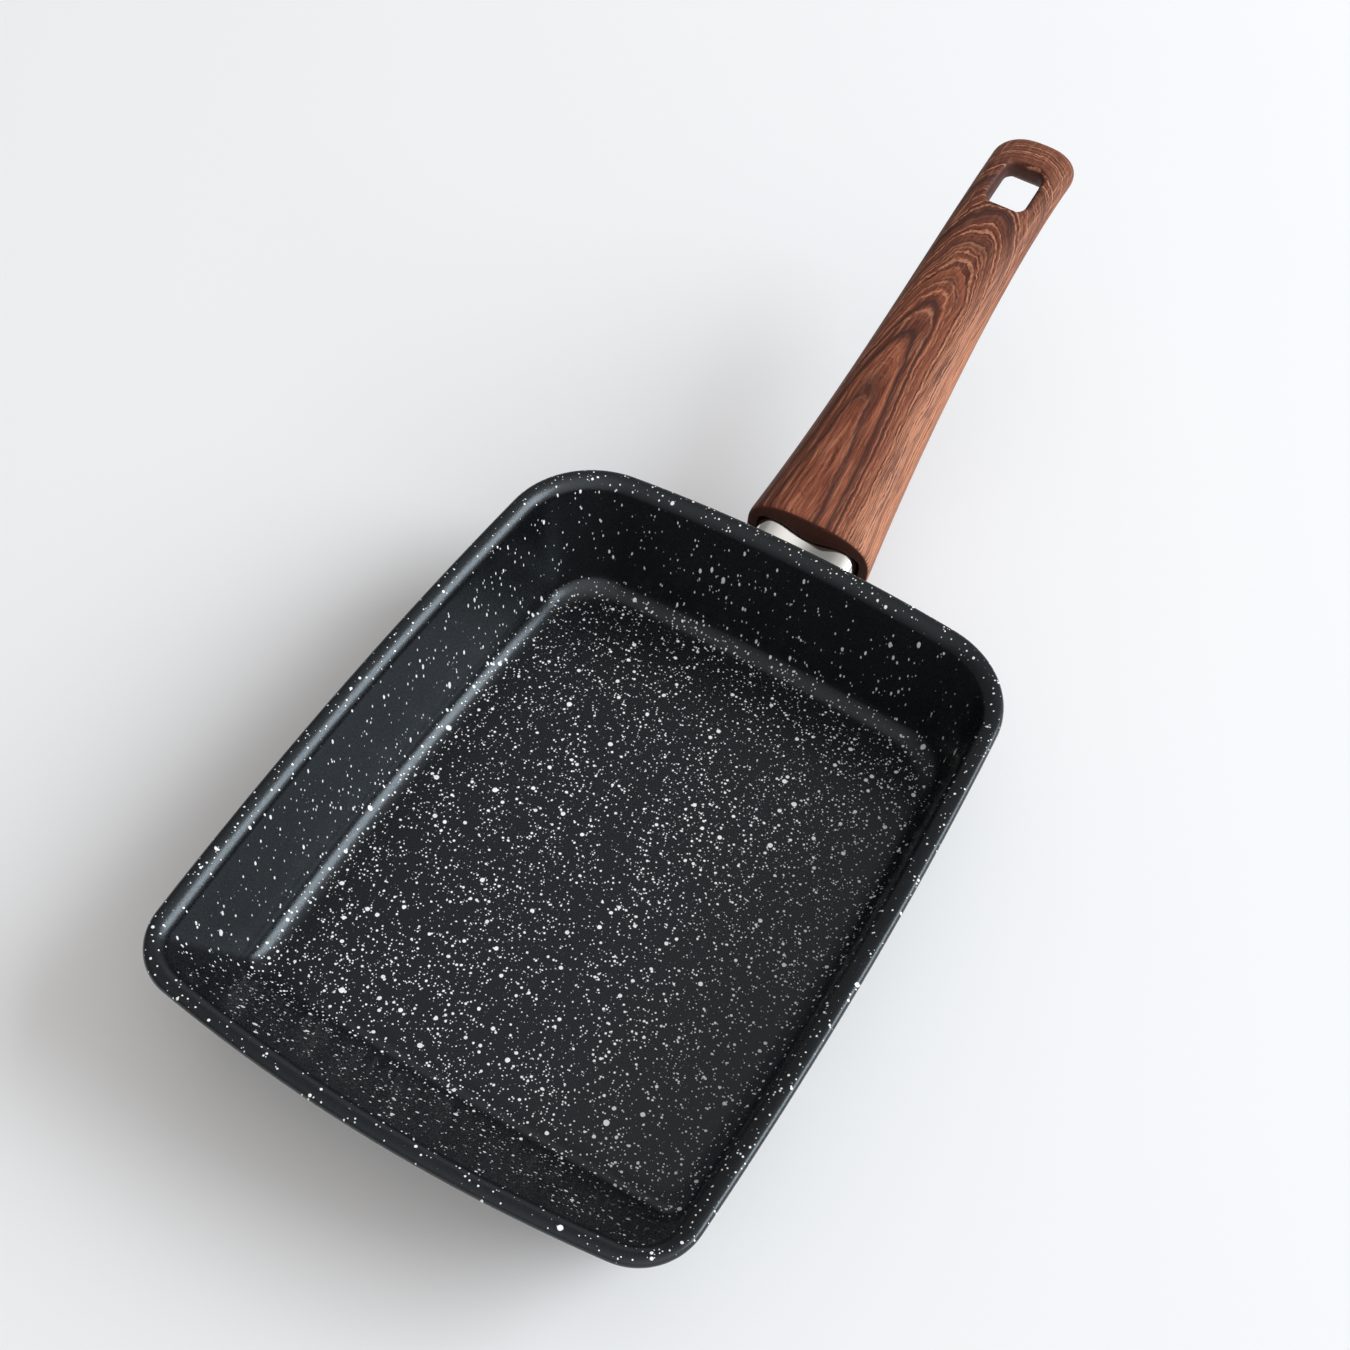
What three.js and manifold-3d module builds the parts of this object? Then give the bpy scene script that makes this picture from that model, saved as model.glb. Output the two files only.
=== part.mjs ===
// Rectangular frying pan: a pressed shell with a flared lip, a stamped steel bracket held on two
// welded studs, and a moulded handle screwed to the bracket's tongue.
// Millimetres and degrees, +Z up. The origin is on the underside of the base, below the middle of the
// rim, and +X points to the handle. Left is +Y.

import * as THREE from 'three';
import { mergeVertices } from 'three/addons/utils/BufferGeometryUtils.js';
import Module from 'manifold-3d';

const wasm = await Module();
wasm.setup();

// Pan shell. A bow is the rise of a side's arc over its whole length.
const RIM_LENGTH = 199.5;
const RIM_WIDTH = 150.6;
const PAN_HEIGHT = 42.5;
const PAN_SHEET = 2.6;
const LIP_FLAT = 0.9;
const LIP_BEND = 1;
const WALL_DRAFT = 7.5;
const FRONT_DRAFT = 33.5;
const FLOOR_FILLET = 6;
const FRONT_FILLET = 12;
const FRONT_BOW = 6.6;
const BACK_BOW = 6.5;
const SIDE_BOW = 3.7;
const FRONT_FLOOR_BOW = 1.5;
const BACK_FLOOR_BOW = 3;
const FRONT_CORNER = 16.5;
const BACK_CORNER = 26.9;
const FRONT_FLOOR_CORNER = 5.5;
const BACK_FLOOR_CORNER = 17;

// Bracket, stamped from one sheet: a foot on the wall, a bend, a channel and a tongue.
const BRACKET_SHEET = 1.8;
const BRACKET_WIDTH = 31;
const BRACKET_SHOULDER = 3.3;
const BRACKET_FLANGE = 3;
const BRACKET_BEND = 10;
const BRACKET_DROP = 6.7;
const FOOT_LENGTH = 20;
const FOOT_FLANGE = 1;
const GROOVE_DEPTH = 2;
const GROOVE_WIDTH = 21;
const NECK_LENGTH = 14;
const TONGUE_WIDTH = 20;
const TONGUE_LENGTH = 46;
const TONGUE_SHOULDER = 2;
const TONGUE_FLANGE = 0.8;
const SHEET_CORNER = 4;

// Handle, moulded round the cavity that takes the bracket.
const HANDLE_GAP = 8.5;
const HANDLE_LENGTH = 145.7;
const HANDLE_ANGLE = 19;
const HANDLE_RISE = 36.2;
const HANDLE_ROOF = 6;
const HANDLE_SIDE = 3.3;
const HANDLE_FLOOR = 3;
const NECK_WIDTH = 26;
const WAIST_WIDTH = 23.8;
const TAIL_WIDTH = 26.1;
const TAIL_THICKNESS = 7;
const TAIL_ROUND = 11;
const FRONT_EDGE = 1;
const MOUTH_ROOM = 4;
const MOUTH_CLEARANCE = 0.6;
const TONGUE_CLEARANCE = 0.4;

// Share of the handle's thickness above its widest level, and the powers of its rounded sections:
// 2 is an ellipse, and a higher power is boxier.
const CROWN_SHARE = 0.54;
const SECTION_POWER = 2.7;
const TAIL_POWER = 2.3;
const TAIL_EDGE_POWER = 6;
const MOUTH_POWER = 5;
const SLOT_POWER = 10;

// Hanging hole through the handle's tail
const HOLE_LENGTH = 17.2;
const HOLE_WIDTH = 11.4;
const HOLE_CORNER = 3.2;
const HOLE_EDGE = 3;
const HOLE_TO_TAIL = 14;

// Studs, washers and nuts on the outside of the wall
const STUD_DIAMETER = 5;
const STUD_PROUD = 1.5;
const STUD_CHAMFER = 0.6;
const STUD_SPACING = 12;
const STUD_DROP = 12.5;
const WASHER_DIAMETER = 10;
const WASHER_THICKNESS = 1;
const NUT_FLATS = 8;
const NUT_HEIGHT = 4;

// Handle screw, its split washer and the threaded insert
const SCREW_DIAMETER = 4.8;
const SCREW_PLACE = 34;
const SCREW_SEAT = 2.6;
const HEAD_DIAMETER = 8.6;
const HEAD_HEIGHT = 2.8;
const RECESS_WIDTH = 1.3;
const RECESS_LENGTH = 5;
const RECESS_DEPTH = 1.7;
const LOCK_DIAMETER = 8.2;
const LOCK_THICKNESS = 1.1;
const LOCK_SPLIT = 12;
const INSERT_DIAMETER = 7.6;
const INSERT_HEIGHT = 3.6;
const KNURL_DEPTH = 0.35;

// Gap between pieces that touch, play round a screw or a head, and the overrun of a cutting tool
const GAP = 0.3;
const PLAY = 0.4;
const OVERRUN = 3;

// Facet counts
const END_STEPS = 5;
const SIDE_STEPS = 8;
const CORNER_STEPS = 8;
const FILLET_STEPS = 6;
const LIP_STEPS = 5;
const EDGE_STEPS = 4;
const BEND_STEPS = 6;
const NECK_STEPS = 7;
const GROOVE_STEPS = 6;
const SHOULDER_STEPS = 5;
const GRIP_STEPS = 22;
const TAIL_STEPS = 8;
const SECTION_STEPS = 40;
const ROUND_STEPS = 24;
const KNURLS = 14;

const { degToRad, lerp, clamp, smoothstep } = THREE.MathUtils;
const QUARTER_TURN = Math.PI / 2;

// count + 1 evenly spaced values
function steps(from, to, count) {
  return Array.from({ length: count + 1 }, (unused, i) => lerp(from, to, i / count));
}

function meshOf(position, index) {
  const geometry = new THREE.BufferGeometry();
  geometry.setAttribute('position', new THREE.Float32BufferAttribute(position, 3));
  geometry.setIndex([...index]);
  return geometry;
}

// Turns every face over if the enclosed volume comes out negative.
function facingOut(geometry) {
  const points = geometry.getAttribute('position');
  const index = [...geometry.getIndex().array];
  const [a, b, c] = [new THREE.Vector3(), new THREE.Vector3(), new THREE.Vector3()];
  let volume = 0;
  for (let i = 0; i < index.length; i += 3) {
    a.fromBufferAttribute(points, index[i]);
    b.fromBufferAttribute(points, index[i + 1]);
    c.fromBufferAttribute(points, index[i + 2]);
    volume += a.dot(b.cross(c));
  }
  if (volume < 0) geometry.setIndex(index.reverse());
  return geometry;
}

// A skin over a row of rings with equal point counts. Each end is closed by rungs between the points
// that lie opposite each other, i and count - i.
function skin(rings) {
  const count = rings[0].length;
  const index = [];
  for (let row = 0; row + 1 < rings.length; row += 1) {
    for (let i = 0; i < count; i += 1) {
      const a = row * count + i;
      const b = row * count + ((i + 1) % count);
      index.push(a, b, b + count, a, b + count, a + count);
    }
  }
  const closeEnd = (start, turn) => {
    for (let i = 0; i < count / 2; i += 1) {
      const near = start + i;
      const nearNext = near + 1;
      const far = start + ((count - i) % count);
      const farNext = start + count - i - 1;
      for (const face of [[near, farNext, nearNext], [near, far, farNext]]) {
        if (new Set(face).size === 3) index.push(...(turn ? face.reverse() : face));
      }
    }
  };
  closeEnd(0, false);
  closeEnd((rings.length - 1) * count, true);
  return facingOut(meshOf(rings.flat().flatMap(({ x, y, z }) => [x, y, z]), index));
}

function solidOf(geometry) {
  const bare = geometry.clone();
  bare.deleteAttribute('normal');
  bare.deleteAttribute('uv');
  const merged = mergeVertices(bare);
  const vertProperties = new Float32Array(merged.getAttribute('position').array);
  const triVerts = new Uint32Array(merged.getIndex().array);
  return new wasm.Manifold(new wasm.Mesh({ numProp: 3, vertProperties, triVerts }));
}

function geometryOf(solid) {
  const { vertProperties, triVerts } = solid.getMesh();
  return meshOf(vertProperties, triVerts);
}

function cut(geometry, cutters) {
  let body = solidOf(geometry);
  for (const cutter of cutters) body = body.subtract(solidOf(cutter));
  return geometryOf(body);
}

// A piece turned about Z from (radius, height) corners that start and end on the axis, with its seam
// and its poles closed.
function turned(corners) {
  const profile = corners.map(([radius, height]) => new THREE.Vector2(radius, height));
  const lathe = new THREE.LatheGeometry(profile, ROUND_STEPS).rotateX(QUARTER_TURN);
  return geometryOf(solidOf(lathe));
}

function rod(radius, low, high) {
  return turned([[0, low], [radius, low], [radius, high], [0, high]]);
}

// A flat piece between two heights, with a round hole through its middle.
function bored(shape, holeRadius, low, high) {
  const hole = new THREE.Path();
  hole.absarc(0, 0, holeRadius, 0, 2 * Math.PI, true);
  shape.holes.push(hole);
  return extruded(shape, low, high);
}

function extruded(shape, low, high) {
  const settings = { depth: high - low, bevelEnabled: false, curveSegments: ROUND_STEPS };
  return new THREE.ExtrudeGeometry(shape, settings).translate(0, 0, low);
}

// A round outline that alternates between two radii.
function toothed(outer, inner, count) {
  const angles = steps(0, 2 * Math.PI, 2 * count).slice(0, -1);
  return new THREE.Shape(angles.map((angle, i) => {
    const radius = i % 2 ? inner : outer;
    return new THREE.Vector2(radius * Math.cos(angle), radius * Math.sin(angle));
  }));
}

function signedPower(value, power) {
  return Math.sign(value) * Math.abs(value) ** power;
}

// Pan shell

// One wall in section, as a row of levels: its inner face from the floor up over the lip, the lip's
// rounded edge, and its outer face back down. inset is measured inwards from the rim's outer edge,
// turn is the rise of the face's normal, and plan is the level that sets the corner's radius.
function wallLevels(draftDegrees, fillet) {
  const draft = degToRad(draftDegrees);
  const lipRadius = LIP_BEND + PAN_SHEET;
  const lipCentre = PAN_SHEET / 2 + LIP_FLAT;
  const wallTop = PAN_HEIGHT - lipRadius * (1 - Math.sin(draft));
  const wallLow = PAN_SHEET + fillet * (1 - Math.sin(draft));
  const slope = (wallTop - wallLow) * Math.tan(draft);
  const floorEdge = lipCentre + (lipRadius + fillet) * Math.cos(draft) + slope;
  const inner = [];
  for (const turn of steps(QUARTER_TURN, draft, FILLET_STEPS)) {
    const z = PAN_SHEET + fillet * (1 - Math.sin(turn));
    inner.push({ inset: floorEdge - fillet * Math.cos(turn), z, turn, lip: false });
  }
  for (const turn of steps(draft, QUARTER_TURN, LIP_STEPS)) {
    const z = PAN_HEIGHT - lipRadius * (1 - Math.sin(turn));
    inner.push({ inset: lipCentre + lipRadius * Math.cos(turn), z, turn, lip: true });
  }
  const edge = [];
  const edgeRadius = PAN_SHEET / 2;
  for (const turn of steps(0, Math.PI, EDGE_STEPS)) {
    const z = PAN_HEIGHT - edgeRadius * (1 - Math.cos(turn));
    edge.push({ inset: edgeRadius * (1 - Math.sin(turn)), z, lip: true });
  }
  const outer = inner.map((plan) => {
    const shift = PAN_SHEET * Math.cos(plan.turn);
    return { inset: plan.inset - shift, z: plan.z - PAN_SHEET * Math.sin(plan.turn), shift, plan };
  });
  return [...inner, ...edge, ...outer.reverse()];
}

const SIDE_WALL = wallLevels(WALL_DRAFT, FLOOR_FILLET);
const BACK_WALL = SIDE_WALL;
const FRONT_WALL = wallLevels(FRONT_DRAFT, FRONT_FILLET);
const WALL_TOP = SIDE_WALL[FILLET_STEPS + 1];
const OUTER_WALL_FOOT = BACK_WALL.at(-1 - FILLET_STEPS);

// Radius of an arc from half its chord and its rise
function bowRadius(halfChord, rise) {
  return (halfChord ** 2 + rise ** 2) / (2 * rise);
}

const SIDE_RADIUS = bowRadius(RIM_LENGTH / 2, SIDE_BOW);
const SIDE_CENTRE = RIM_WIDTH / 2 - SIDE_RADIUS;

// How far up the wall a level is: 0 at the floor, and 1 from the foot of the lip on
function wallShare(level) {
  const plan = level.plan ?? level;
  return plan.lip ? 1 : clamp((plan.z - PAN_SHEET) / (WALL_TOP.z - PAN_SHEET), 0, 1);
}

// The bow of an end and the radius of a corner ease from the lip to the floor.
function endRadius(level, rimBow, floorBow) {
  return bowRadius(RIM_WIDTH / 2, lerp(floorBow, rimBow, wallShare(level)));
}

function cornerRadius(level, rimCorner, floorCorner) {
  const plan = level.plan ?? level;
  const lipInset = plan.lip ? plan.inset : WALL_TOP.inset;
  return lerp(floorCorner, rimCorner - lipInset, wallShare(level)) + (level.shift ?? 0);
}

// A quarter of the outline at one level: half of the end's arc, then the corner, which touches the
// arcs of the end and of the long side.
function outlineQuarter(radius, end, side, corner) {
  const endCentre = RIM_LENGTH / 2 - radius;
  const endReach = radius - end.inset - corner;
  const sideReach = SIDE_RADIUS - side.inset - corner;
  const apart = Math.hypot(endCentre, SIDE_CENTRE);
  const along = (endReach ** 2 - sideReach ** 2 + apart ** 2) / (2 * apart);
  const across = Math.sqrt(endReach ** 2 - along ** 2);
  const x = endCentre - (endCentre * along + SIDE_CENTRE * across) / apart;
  const y = (SIDE_CENTRE * along - endCentre * across) / apart;
  const endAngle = Math.atan2(y, x - endCentre);
  const sideAngle = Math.atan2(y - SIDE_CENTRE, x);
  const points = steps(0, endAngle, END_STEPS).slice(0, -1).map((angle) => {
    const reach = radius - end.inset;
    return new THREE.Vector3(endCentre + reach * Math.cos(angle), reach * Math.sin(angle), end.z);
  });
  for (const share of steps(0, 1, CORNER_STEPS)) {
    const angle = lerp(endAngle, sideAngle, share);
    const z = lerp(end.z, side.z, smoothstep(share, 0, 1));
    points.push(new THREE.Vector3(x + corner * Math.cos(angle), y + corner * Math.sin(angle), z));
  }
  return { points, sideAngle };
}

function panRing(side, i) {
  const backCorner = cornerRadius(side, BACK_CORNER, BACK_FLOOR_CORNER);
  const frontCorner = cornerRadius(side, FRONT_CORNER, FRONT_FLOOR_CORNER);
  const backRadius = endRadius(side, BACK_BOW, BACK_FLOOR_BOW);
  const frontRadius = endRadius(side, FRONT_BOW, FRONT_FLOOR_BOW);
  const back = outlineQuarter(backRadius, BACK_WALL[i], side, backCorner);
  const front = outlineQuarter(frontRadius, FRONT_WALL[i], side, frontCorner);
  const sideAngles = steps(back.sideAngle, Math.PI - front.sideAngle, SIDE_STEPS).slice(1, -1);
  const reach = SIDE_RADIUS - side.inset;
  const half = [
    ...back.points,
    ...sideAngles.map((angle) => (
      new THREE.Vector3(reach * Math.cos(angle), SIDE_CENTRE + reach * Math.sin(angle), side.z)
    )),
    ...front.points.reverse().map(({ x, y, z }) => new THREE.Vector3(-x, y, z)),
  ];
  const mirrored = half.slice(1, -1).reverse().map(({ x, y, z }) => new THREE.Vector3(x, -y, z));
  return [...half, ...mirrored];
}

function panBody() {
  return skin(SIDE_WALL.map(panRing));
}

// Path of the bracket's mid sheet, in the plane Y = 0: up the wall, round the bend and out along the web.

const WALL_LEAN = degToRad(WALL_DRAFT);
const WEB_ANGLE = degToRad(HANDLE_ANGLE);
const HANDLE_FRONT = RIM_LENGTH / 2 + HANDLE_GAP;
const WEB_HEIGHT = PAN_HEIGHT - BRACKET_DROP;
const FOOT_WAY = new THREE.Vector2(Math.sin(WALL_LEAN), Math.cos(WALL_LEAN));
const FOOT_OUT = new THREE.Vector2(Math.cos(WALL_LEAN), -Math.sin(WALL_LEAN));
const WEB_WAY = new THREE.Vector2(Math.cos(WEB_ANGLE), Math.sin(WEB_ANGLE));
const WALL_POINT = new THREE.Vector2(RIM_LENGTH / 2 - OUTER_WALL_FOOT.inset, OUTER_WALL_FOOT.z);
const FOOT_POINT = WALL_POINT.clone().addScaledVector(FOOT_OUT, GAP + BRACKET_SHEET / 2);
const WEB_POINT = new THREE.Vector2(HANDLE_FRONT, WEB_HEIGHT);
const FOOT_TO_BEND = WEB_POINT.clone().sub(FOOT_POINT).cross(WEB_WAY) / FOOT_WAY.cross(WEB_WAY);
const BEND_POINT = FOOT_POINT.clone().addScaledVector(FOOT_WAY, FOOT_TO_BEND);
const BEND_TURN = QUARTER_TURN - WALL_LEAN - WEB_ANGLE;
const BEND_TANGENT = BRACKET_BEND * Math.tan(BEND_TURN / 2);

// Distances along the path, from the foot's lower end
const BEND_START = FOOT_LENGTH - BEND_TANGENT;
const BEND_END = BEND_START + BRACKET_BEND * BEND_TURN;
const MOUTH = BEND_END + WEB_POINT.distanceTo(BEND_POINT) - BEND_TANGENT;
const NECK_END = MOUTH + NECK_LENGTH;
const TONGUE_END = MOUTH + TONGUE_LENGTH;

function pathAt(distance) {
  if (distance > BEND_END) {
    const point = BEND_POINT.clone().addScaledVector(WEB_WAY, distance - BEND_END + BEND_TANGENT);
    return { point, angle: WEB_ANGLE };
  }
  const bent = Math.max(distance - BEND_START, 0) / BRACKET_BEND;
  const angle = QUARTER_TURN - WALL_LEAN - bent;
  const straight = Math.min(distance, BEND_START);
  const point = BEND_POINT.clone().addScaledVector(FOOT_WAY, straight - FOOT_LENGTH);
  point.addScaledVector(FOOT_OUT, BRACKET_BEND);
  point.x -= BRACKET_BEND * Math.sin(angle);
  point.y += BRACKET_BEND * Math.cos(angle);
  return { point, angle };
}

// A point across the path, up along its normal.
function onPath({ point, angle }, across, up) {
  return new THREE.Vector3(point.x - up * Math.sin(angle), across, point.y + up * Math.cos(angle));
}

// Bracket section sizes along the path

function neckShare(distance) {
  return smoothstep(distance, MOUTH, NECK_END);
}

function bracketHalf(distance) {
  return lerp(BRACKET_WIDTH, TONGUE_WIDTH, neckShare(distance)) / 2;
}

function bracketShoulder(distance) {
  return lerp(BRACKET_SHOULDER, TONGUE_SHOULDER, neckShare(distance));
}

function bracketFlange(distance) {
  const channel = lerp(FOOT_FLANGE, BRACKET_FLANGE, smoothstep(distance, BEND_START, BEND_END));
  return lerp(channel, TONGUE_FLANGE, neckShare(distance));
}

function bracketDepth(distance) {
  return bracketShoulder(distance) + bracketFlange(distance) + BRACKET_SHEET / 4;
}

// Depth of the groove at a place across the sheet
function grooveAt(distance, across) {
  const depth = GROOVE_DEPTH * smoothstep(distance, BEND_START, BEND_END) * (1 - neckShare(distance));
  const place = Math.min(Math.abs(across) / (GROOVE_WIDTH / 2), 1);
  return depth * (1 + Math.cos(Math.PI * place)) / 2;
}

// How far the sheet's rounded end corners draw its edge in
function cornerInset(distance) {
  const fromEnd = Math.min(distance, TONGUE_END - distance, SHEET_CORNER);
  return SHEET_CORNER - Math.sqrt(SHEET_CORNER ** 2 - (SHEET_CORNER - fromEnd) ** 2);
}

function bracketRing(distance) {
  const frame = pathAt(distance);
  const half = bracketHalf(distance) - BRACKET_SHEET / 2 - cornerInset(distance);
  const shoulder = bracketShoulder(distance);
  const flat = half - shoulder;
  const right = steps(0, flat, GROOVE_STEPS).map((across) => ({
    across, up: -grooveAt(distance, across), lean: 0,
  }));
  for (const lean of steps(0, QUARTER_TURN, SHOULDER_STEPS).slice(1)) {
    right.push({ across: flat + shoulder * Math.sin(lean), up: -shoulder * (1 - Math.cos(lean)), lean });
  }
  const low = -shoulder - bracketFlange(distance);
  right.push({ across: half, up: low, lean: QUARTER_TURN });
  const left = right.slice(1).reverse().map(({ across, up, lean }) => ({
    across: -across, up, lean: -lean,
  }));
  const sheet = [...left, ...right];
  const face = (side) => sheet.map(({ across, up, lean }) => (
    onPath(frame, across + side * Math.sin(lean), up + side * Math.cos(lean))
  ));
  const edge = low - BRACKET_SHEET / 4;
  return [
    onPath(frame, -half, edge),
    ...face(BRACKET_SHEET / 2),
    onPath(frame, half, edge),
    ...face(-BRACKET_SHEET / 2).reverse(),
  ];
}

function bracketBlank() {
  const corner = steps(0, QUARTER_TURN, EDGE_STEPS).map((turn) => SHEET_CORNER * (1 - Math.cos(turn)));
  const distances = [
    ...corner,
    ...steps(BEND_START, BEND_END, BEND_STEPS),
    ...steps(MOUTH, NECK_END, NECK_STEPS),
    ...corner.map((fromEnd) => TONGUE_END - fromEnd).reverse(),
  ];
  return skin(distances.map(bracketRing));
}

// Handle, in upright sections from its front face to its tail

const CAVITY_TOP = BRACKET_SHEET / 2 + TONGUE_CLEARANCE;

function cavityBottom(distance) {
  return bracketDepth(distance) + lerp(MOUTH_ROOM, TONGUE_CLEARANCE, neckShare(distance));
}

const FRONT_CROWN = WEB_HEIGHT + CAVITY_TOP + HANDLE_ROOF;
const FRONT_THICKNESS = CAVITY_TOP + HANDLE_ROOF + cavityBottom(MOUTH) + HANDLE_FLOOR;
const FRONT_WIDTH = BRACKET_WIDTH + 2 * (MOUTH_CLEARANCE + HANDLE_SIDE);
const FRONT_LEVEL = FRONT_CROWN - CROWN_SHARE * FRONT_THICKNESS;

// A smooth curve over the handle's length, drawn by its two ends and the two pulls between them
function alongHandle(front, frontPull, tailPull, tail) {
  const heights = [front, frontPull, tailPull, tail];
  const curve = new THREE.CubicBezierCurve(...heights.map((y, i) => new THREE.Vector2(i / 3, y)));
  return (share) => curve.getPoint(share).y;
}

const TAIL_CROWN = FRONT_CROWN + HANDLE_RISE;
const FRONT_PULL = FRONT_CROWN + Math.tan(WEB_ANGLE) * HANDLE_LENGTH / 3;
const crownAt = alongHandle(FRONT_CROWN, FRONT_PULL, TAIL_CROWN, TAIL_CROWN);
const widthAt = alongHandle(FRONT_WIDTH, NECK_WIDTH, WAIST_WIDTH, TAIL_WIDTH);

function thicknessAt(share) {
  return lerp(FRONT_THICKNESS, TAIL_THICKNESS, smoothstep(share, 0, 1));
}

function handleRing({ along, inset = 0, widthScale = 1, heightScale = 1 }) {
  const share = along / HANDLE_LENGTH;
  const half = widthAt(share) / 2 * widthScale - inset;
  const above = CROWN_SHARE * thicknessAt(share);
  const level = crownAt(share) - above;
  const upper = above * heightScale - inset;
  const lower = (thicknessAt(share) - above) * heightScale - inset;
  const angles = steps(-QUARTER_TURN, 3 * QUARTER_TURN, SECTION_STEPS).slice(0, -1);
  return angles.map((angle) => {
    const y = half * signedPower(Math.cos(angle), 2 / SECTION_POWER);
    const rise = signedPower(Math.sin(angle), 2 / SECTION_POWER);
    return new THREE.Vector3(HANDLE_FRONT + along, y, level + rise * (rise > 0 ? upper : lower));
  });
}

function handleBlank() {
  const tailStart = HANDLE_LENGTH - TAIL_ROUND;
  const front = steps(0, QUARTER_TURN, EDGE_STEPS).map((turn) => ({
    along: FRONT_EDGE * (1 - Math.cos(turn)), inset: FRONT_EDGE * (1 - Math.sin(turn)),
  }));
  const grip = steps(FRONT_EDGE, tailStart, GRIP_STEPS).slice(1).map((along) => ({ along }));
  const tail = steps(0, QUARTER_TURN, TAIL_STEPS + 1).slice(1, -1).map((turn) => {
    const share = Math.sin(turn);
    return {
      along: tailStart + TAIL_ROUND * share,
      widthScale: (1 - share ** TAIL_POWER) ** (1 / TAIL_POWER),
      heightScale: Math.sqrt(1 - share ** TAIL_EDGE_POWER),
    };
  });
  return skin([...front, ...grip, ...tail].map(handleRing));
}

// Cavity in the handle: a wide mouth round the channel that narrows to a slot round the tongue
function cavityRing(distance) {
  const share = neckShare(distance);
  const half = bracketHalf(distance) + lerp(MOUTH_CLEARANCE, TONGUE_CLEARANCE, share);
  const bottom = cavityBottom(distance);
  const level = lerp(FRONT_LEVEL - WEB_HEIGHT, (CAVITY_TOP - bottom) / 2, share);
  const angles = steps(-QUARTER_TURN, 3 * QUARTER_TURN, SECTION_STEPS).slice(0, -1);
  return angles.map((angle) => {
    const upper = Math.sin(angle) > 0;
    const power = upper ? MOUTH_POWER : lerp(SECTION_POWER, SLOT_POWER, share);
    const across = half * signedPower(Math.cos(angle), 2 / power);
    const rise = signedPower(Math.sin(angle), 2 / power);
    const up = upper ? rise * (CAVITY_TOP - level) - grooveAt(distance, across) : rise * (bottom + level);
    return onPath(pathAt(distance), across, level + up);
  });
}

function handleCavity() {
  const neck = steps(MOUTH, NECK_END, NECK_STEPS);
  const distances = [MOUTH - OVERRUN, ...neck, TONGUE_END + TONGUE_CLEARANCE];
  return skin(distances.map(cavityRing));
}

// Hanging hole with its two rims rounded over, square to the handle's middle line
function hangingHole() {
  const along = HANDLE_LENGTH - HOLE_TO_TAIL - HOLE_LENGTH / 2;
  const share = along / HANDLE_LENGTH;
  const middleAt = (place) => crownAt(place) - thicknessAt(place) / 2;
  const reach = HOLE_LENGTH / 2 / HANDLE_LENGTH;
  const slope = Math.atan2(middleAt(share + reach) - middleAt(share - reach), HOLE_LENGTH);
  const surface = thicknessAt(share) / 2;
  const ringAt = (height, grow) => {
    const corner = HOLE_CORNER + grow;
    const x = HOLE_LENGTH / 2 - HOLE_CORNER;
    const y = HOLE_WIDTH / 2 - HOLE_CORNER;
    const half = steps(0, Math.PI, 2 * EDGE_STEPS).map((turn, i) => new THREE.Vector3(
      (i <= EDGE_STEPS ? x : -x) + corner * Math.cos(turn), y + corner * Math.sin(turn), height,
    ));
    const mirrored = [...half].reverse().map((point) => new THREE.Vector3(point.x, -point.y, height));
    const tail = new THREE.Vector3(x + corner, 0, height);
    const front = new THREE.Vector3(-x - corner, 0, height);
    return [tail, ...half, front, ...mirrored];
  };
  const edge = Math.min(HOLE_EDGE, 0.8 * surface);
  const rim = steps(0, QUARTER_TURN, EDGE_STEPS).map((turn) => ({
    height: surface - edge * (1 - Math.sin(turn)), grow: edge * (1 - Math.cos(turn)),
  }));
  const upper = [...rim, { height: surface + OVERRUN, grow: edge }];
  const lower = upper.map(({ height, grow }) => ({ height: -height, grow })).reverse();
  const cutter = skin([...lower, ...upper].map(({ height, grow }) => ringAt(height, grow)));
  return cutter.rotateY(-slope).translate(HANDLE_FRONT + along, 0, middleAt(share));
}

// Seats: a point and the turn about Y that brings Z on to the fastener's axis

const SCREW_PATH = pathAt(MOUTH + SCREW_PLACE);
const SCREW_POINT = { x: SCREW_PATH.point.x, y: 0, z: SCREW_PATH.point.y, turn: -WEB_ANGLE };

function studPoint(y) {
  const wall = BEND_POINT.clone().addScaledVector(FOOT_WAY, -STUD_DROP);
  wall.addScaledVector(FOOT_OUT, -GAP - BRACKET_SHEET / 2);
  return { x: wall.x, y, z: wall.y, turn: QUARTER_TURN + WALL_LEAN };
}

function seated(geometry, { x, y, z, turn }) {
  return geometry.rotateY(turn).translate(x, y, z);
}

// Heights on the stud's axis, from the wall outwards
const WASHER_LOW = GAP + BRACKET_SHEET + GAP;
const NUT_LOW = WASHER_LOW + WASHER_THICKNESS + GAP;
const STUD_TOP = NUT_LOW + NUT_HEIGHT + STUD_PROUD;

// Heights on the screw's axis, from the middle of the tongue's sheet
const SLOT_FLOOR = -cavityBottom(NECK_END);
const SEAT_HEIGHT = SLOT_FLOOR - SCREW_SEAT;
const LOCK_LOW = SEAT_HEIGHT - GAP - LOCK_THICKNESS;
const HEAD_TOP = LOCK_LOW - GAP;
const HEAD_LOW = HEAD_TOP - HEAD_HEIGHT;
const INSERT_TOP = CAVITY_TOP + INSERT_HEIGHT;

function weldStud() {
  const radius = STUD_DIAMETER / 2;
  const tip = radius - STUD_CHAMFER;
  const shoulder = STUD_TOP - STUD_CHAMFER;
  return turned([[0, GAP], [radius, GAP], [radius, shoulder], [tip, STUD_TOP], [0, STUD_TOP]]);
}

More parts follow.
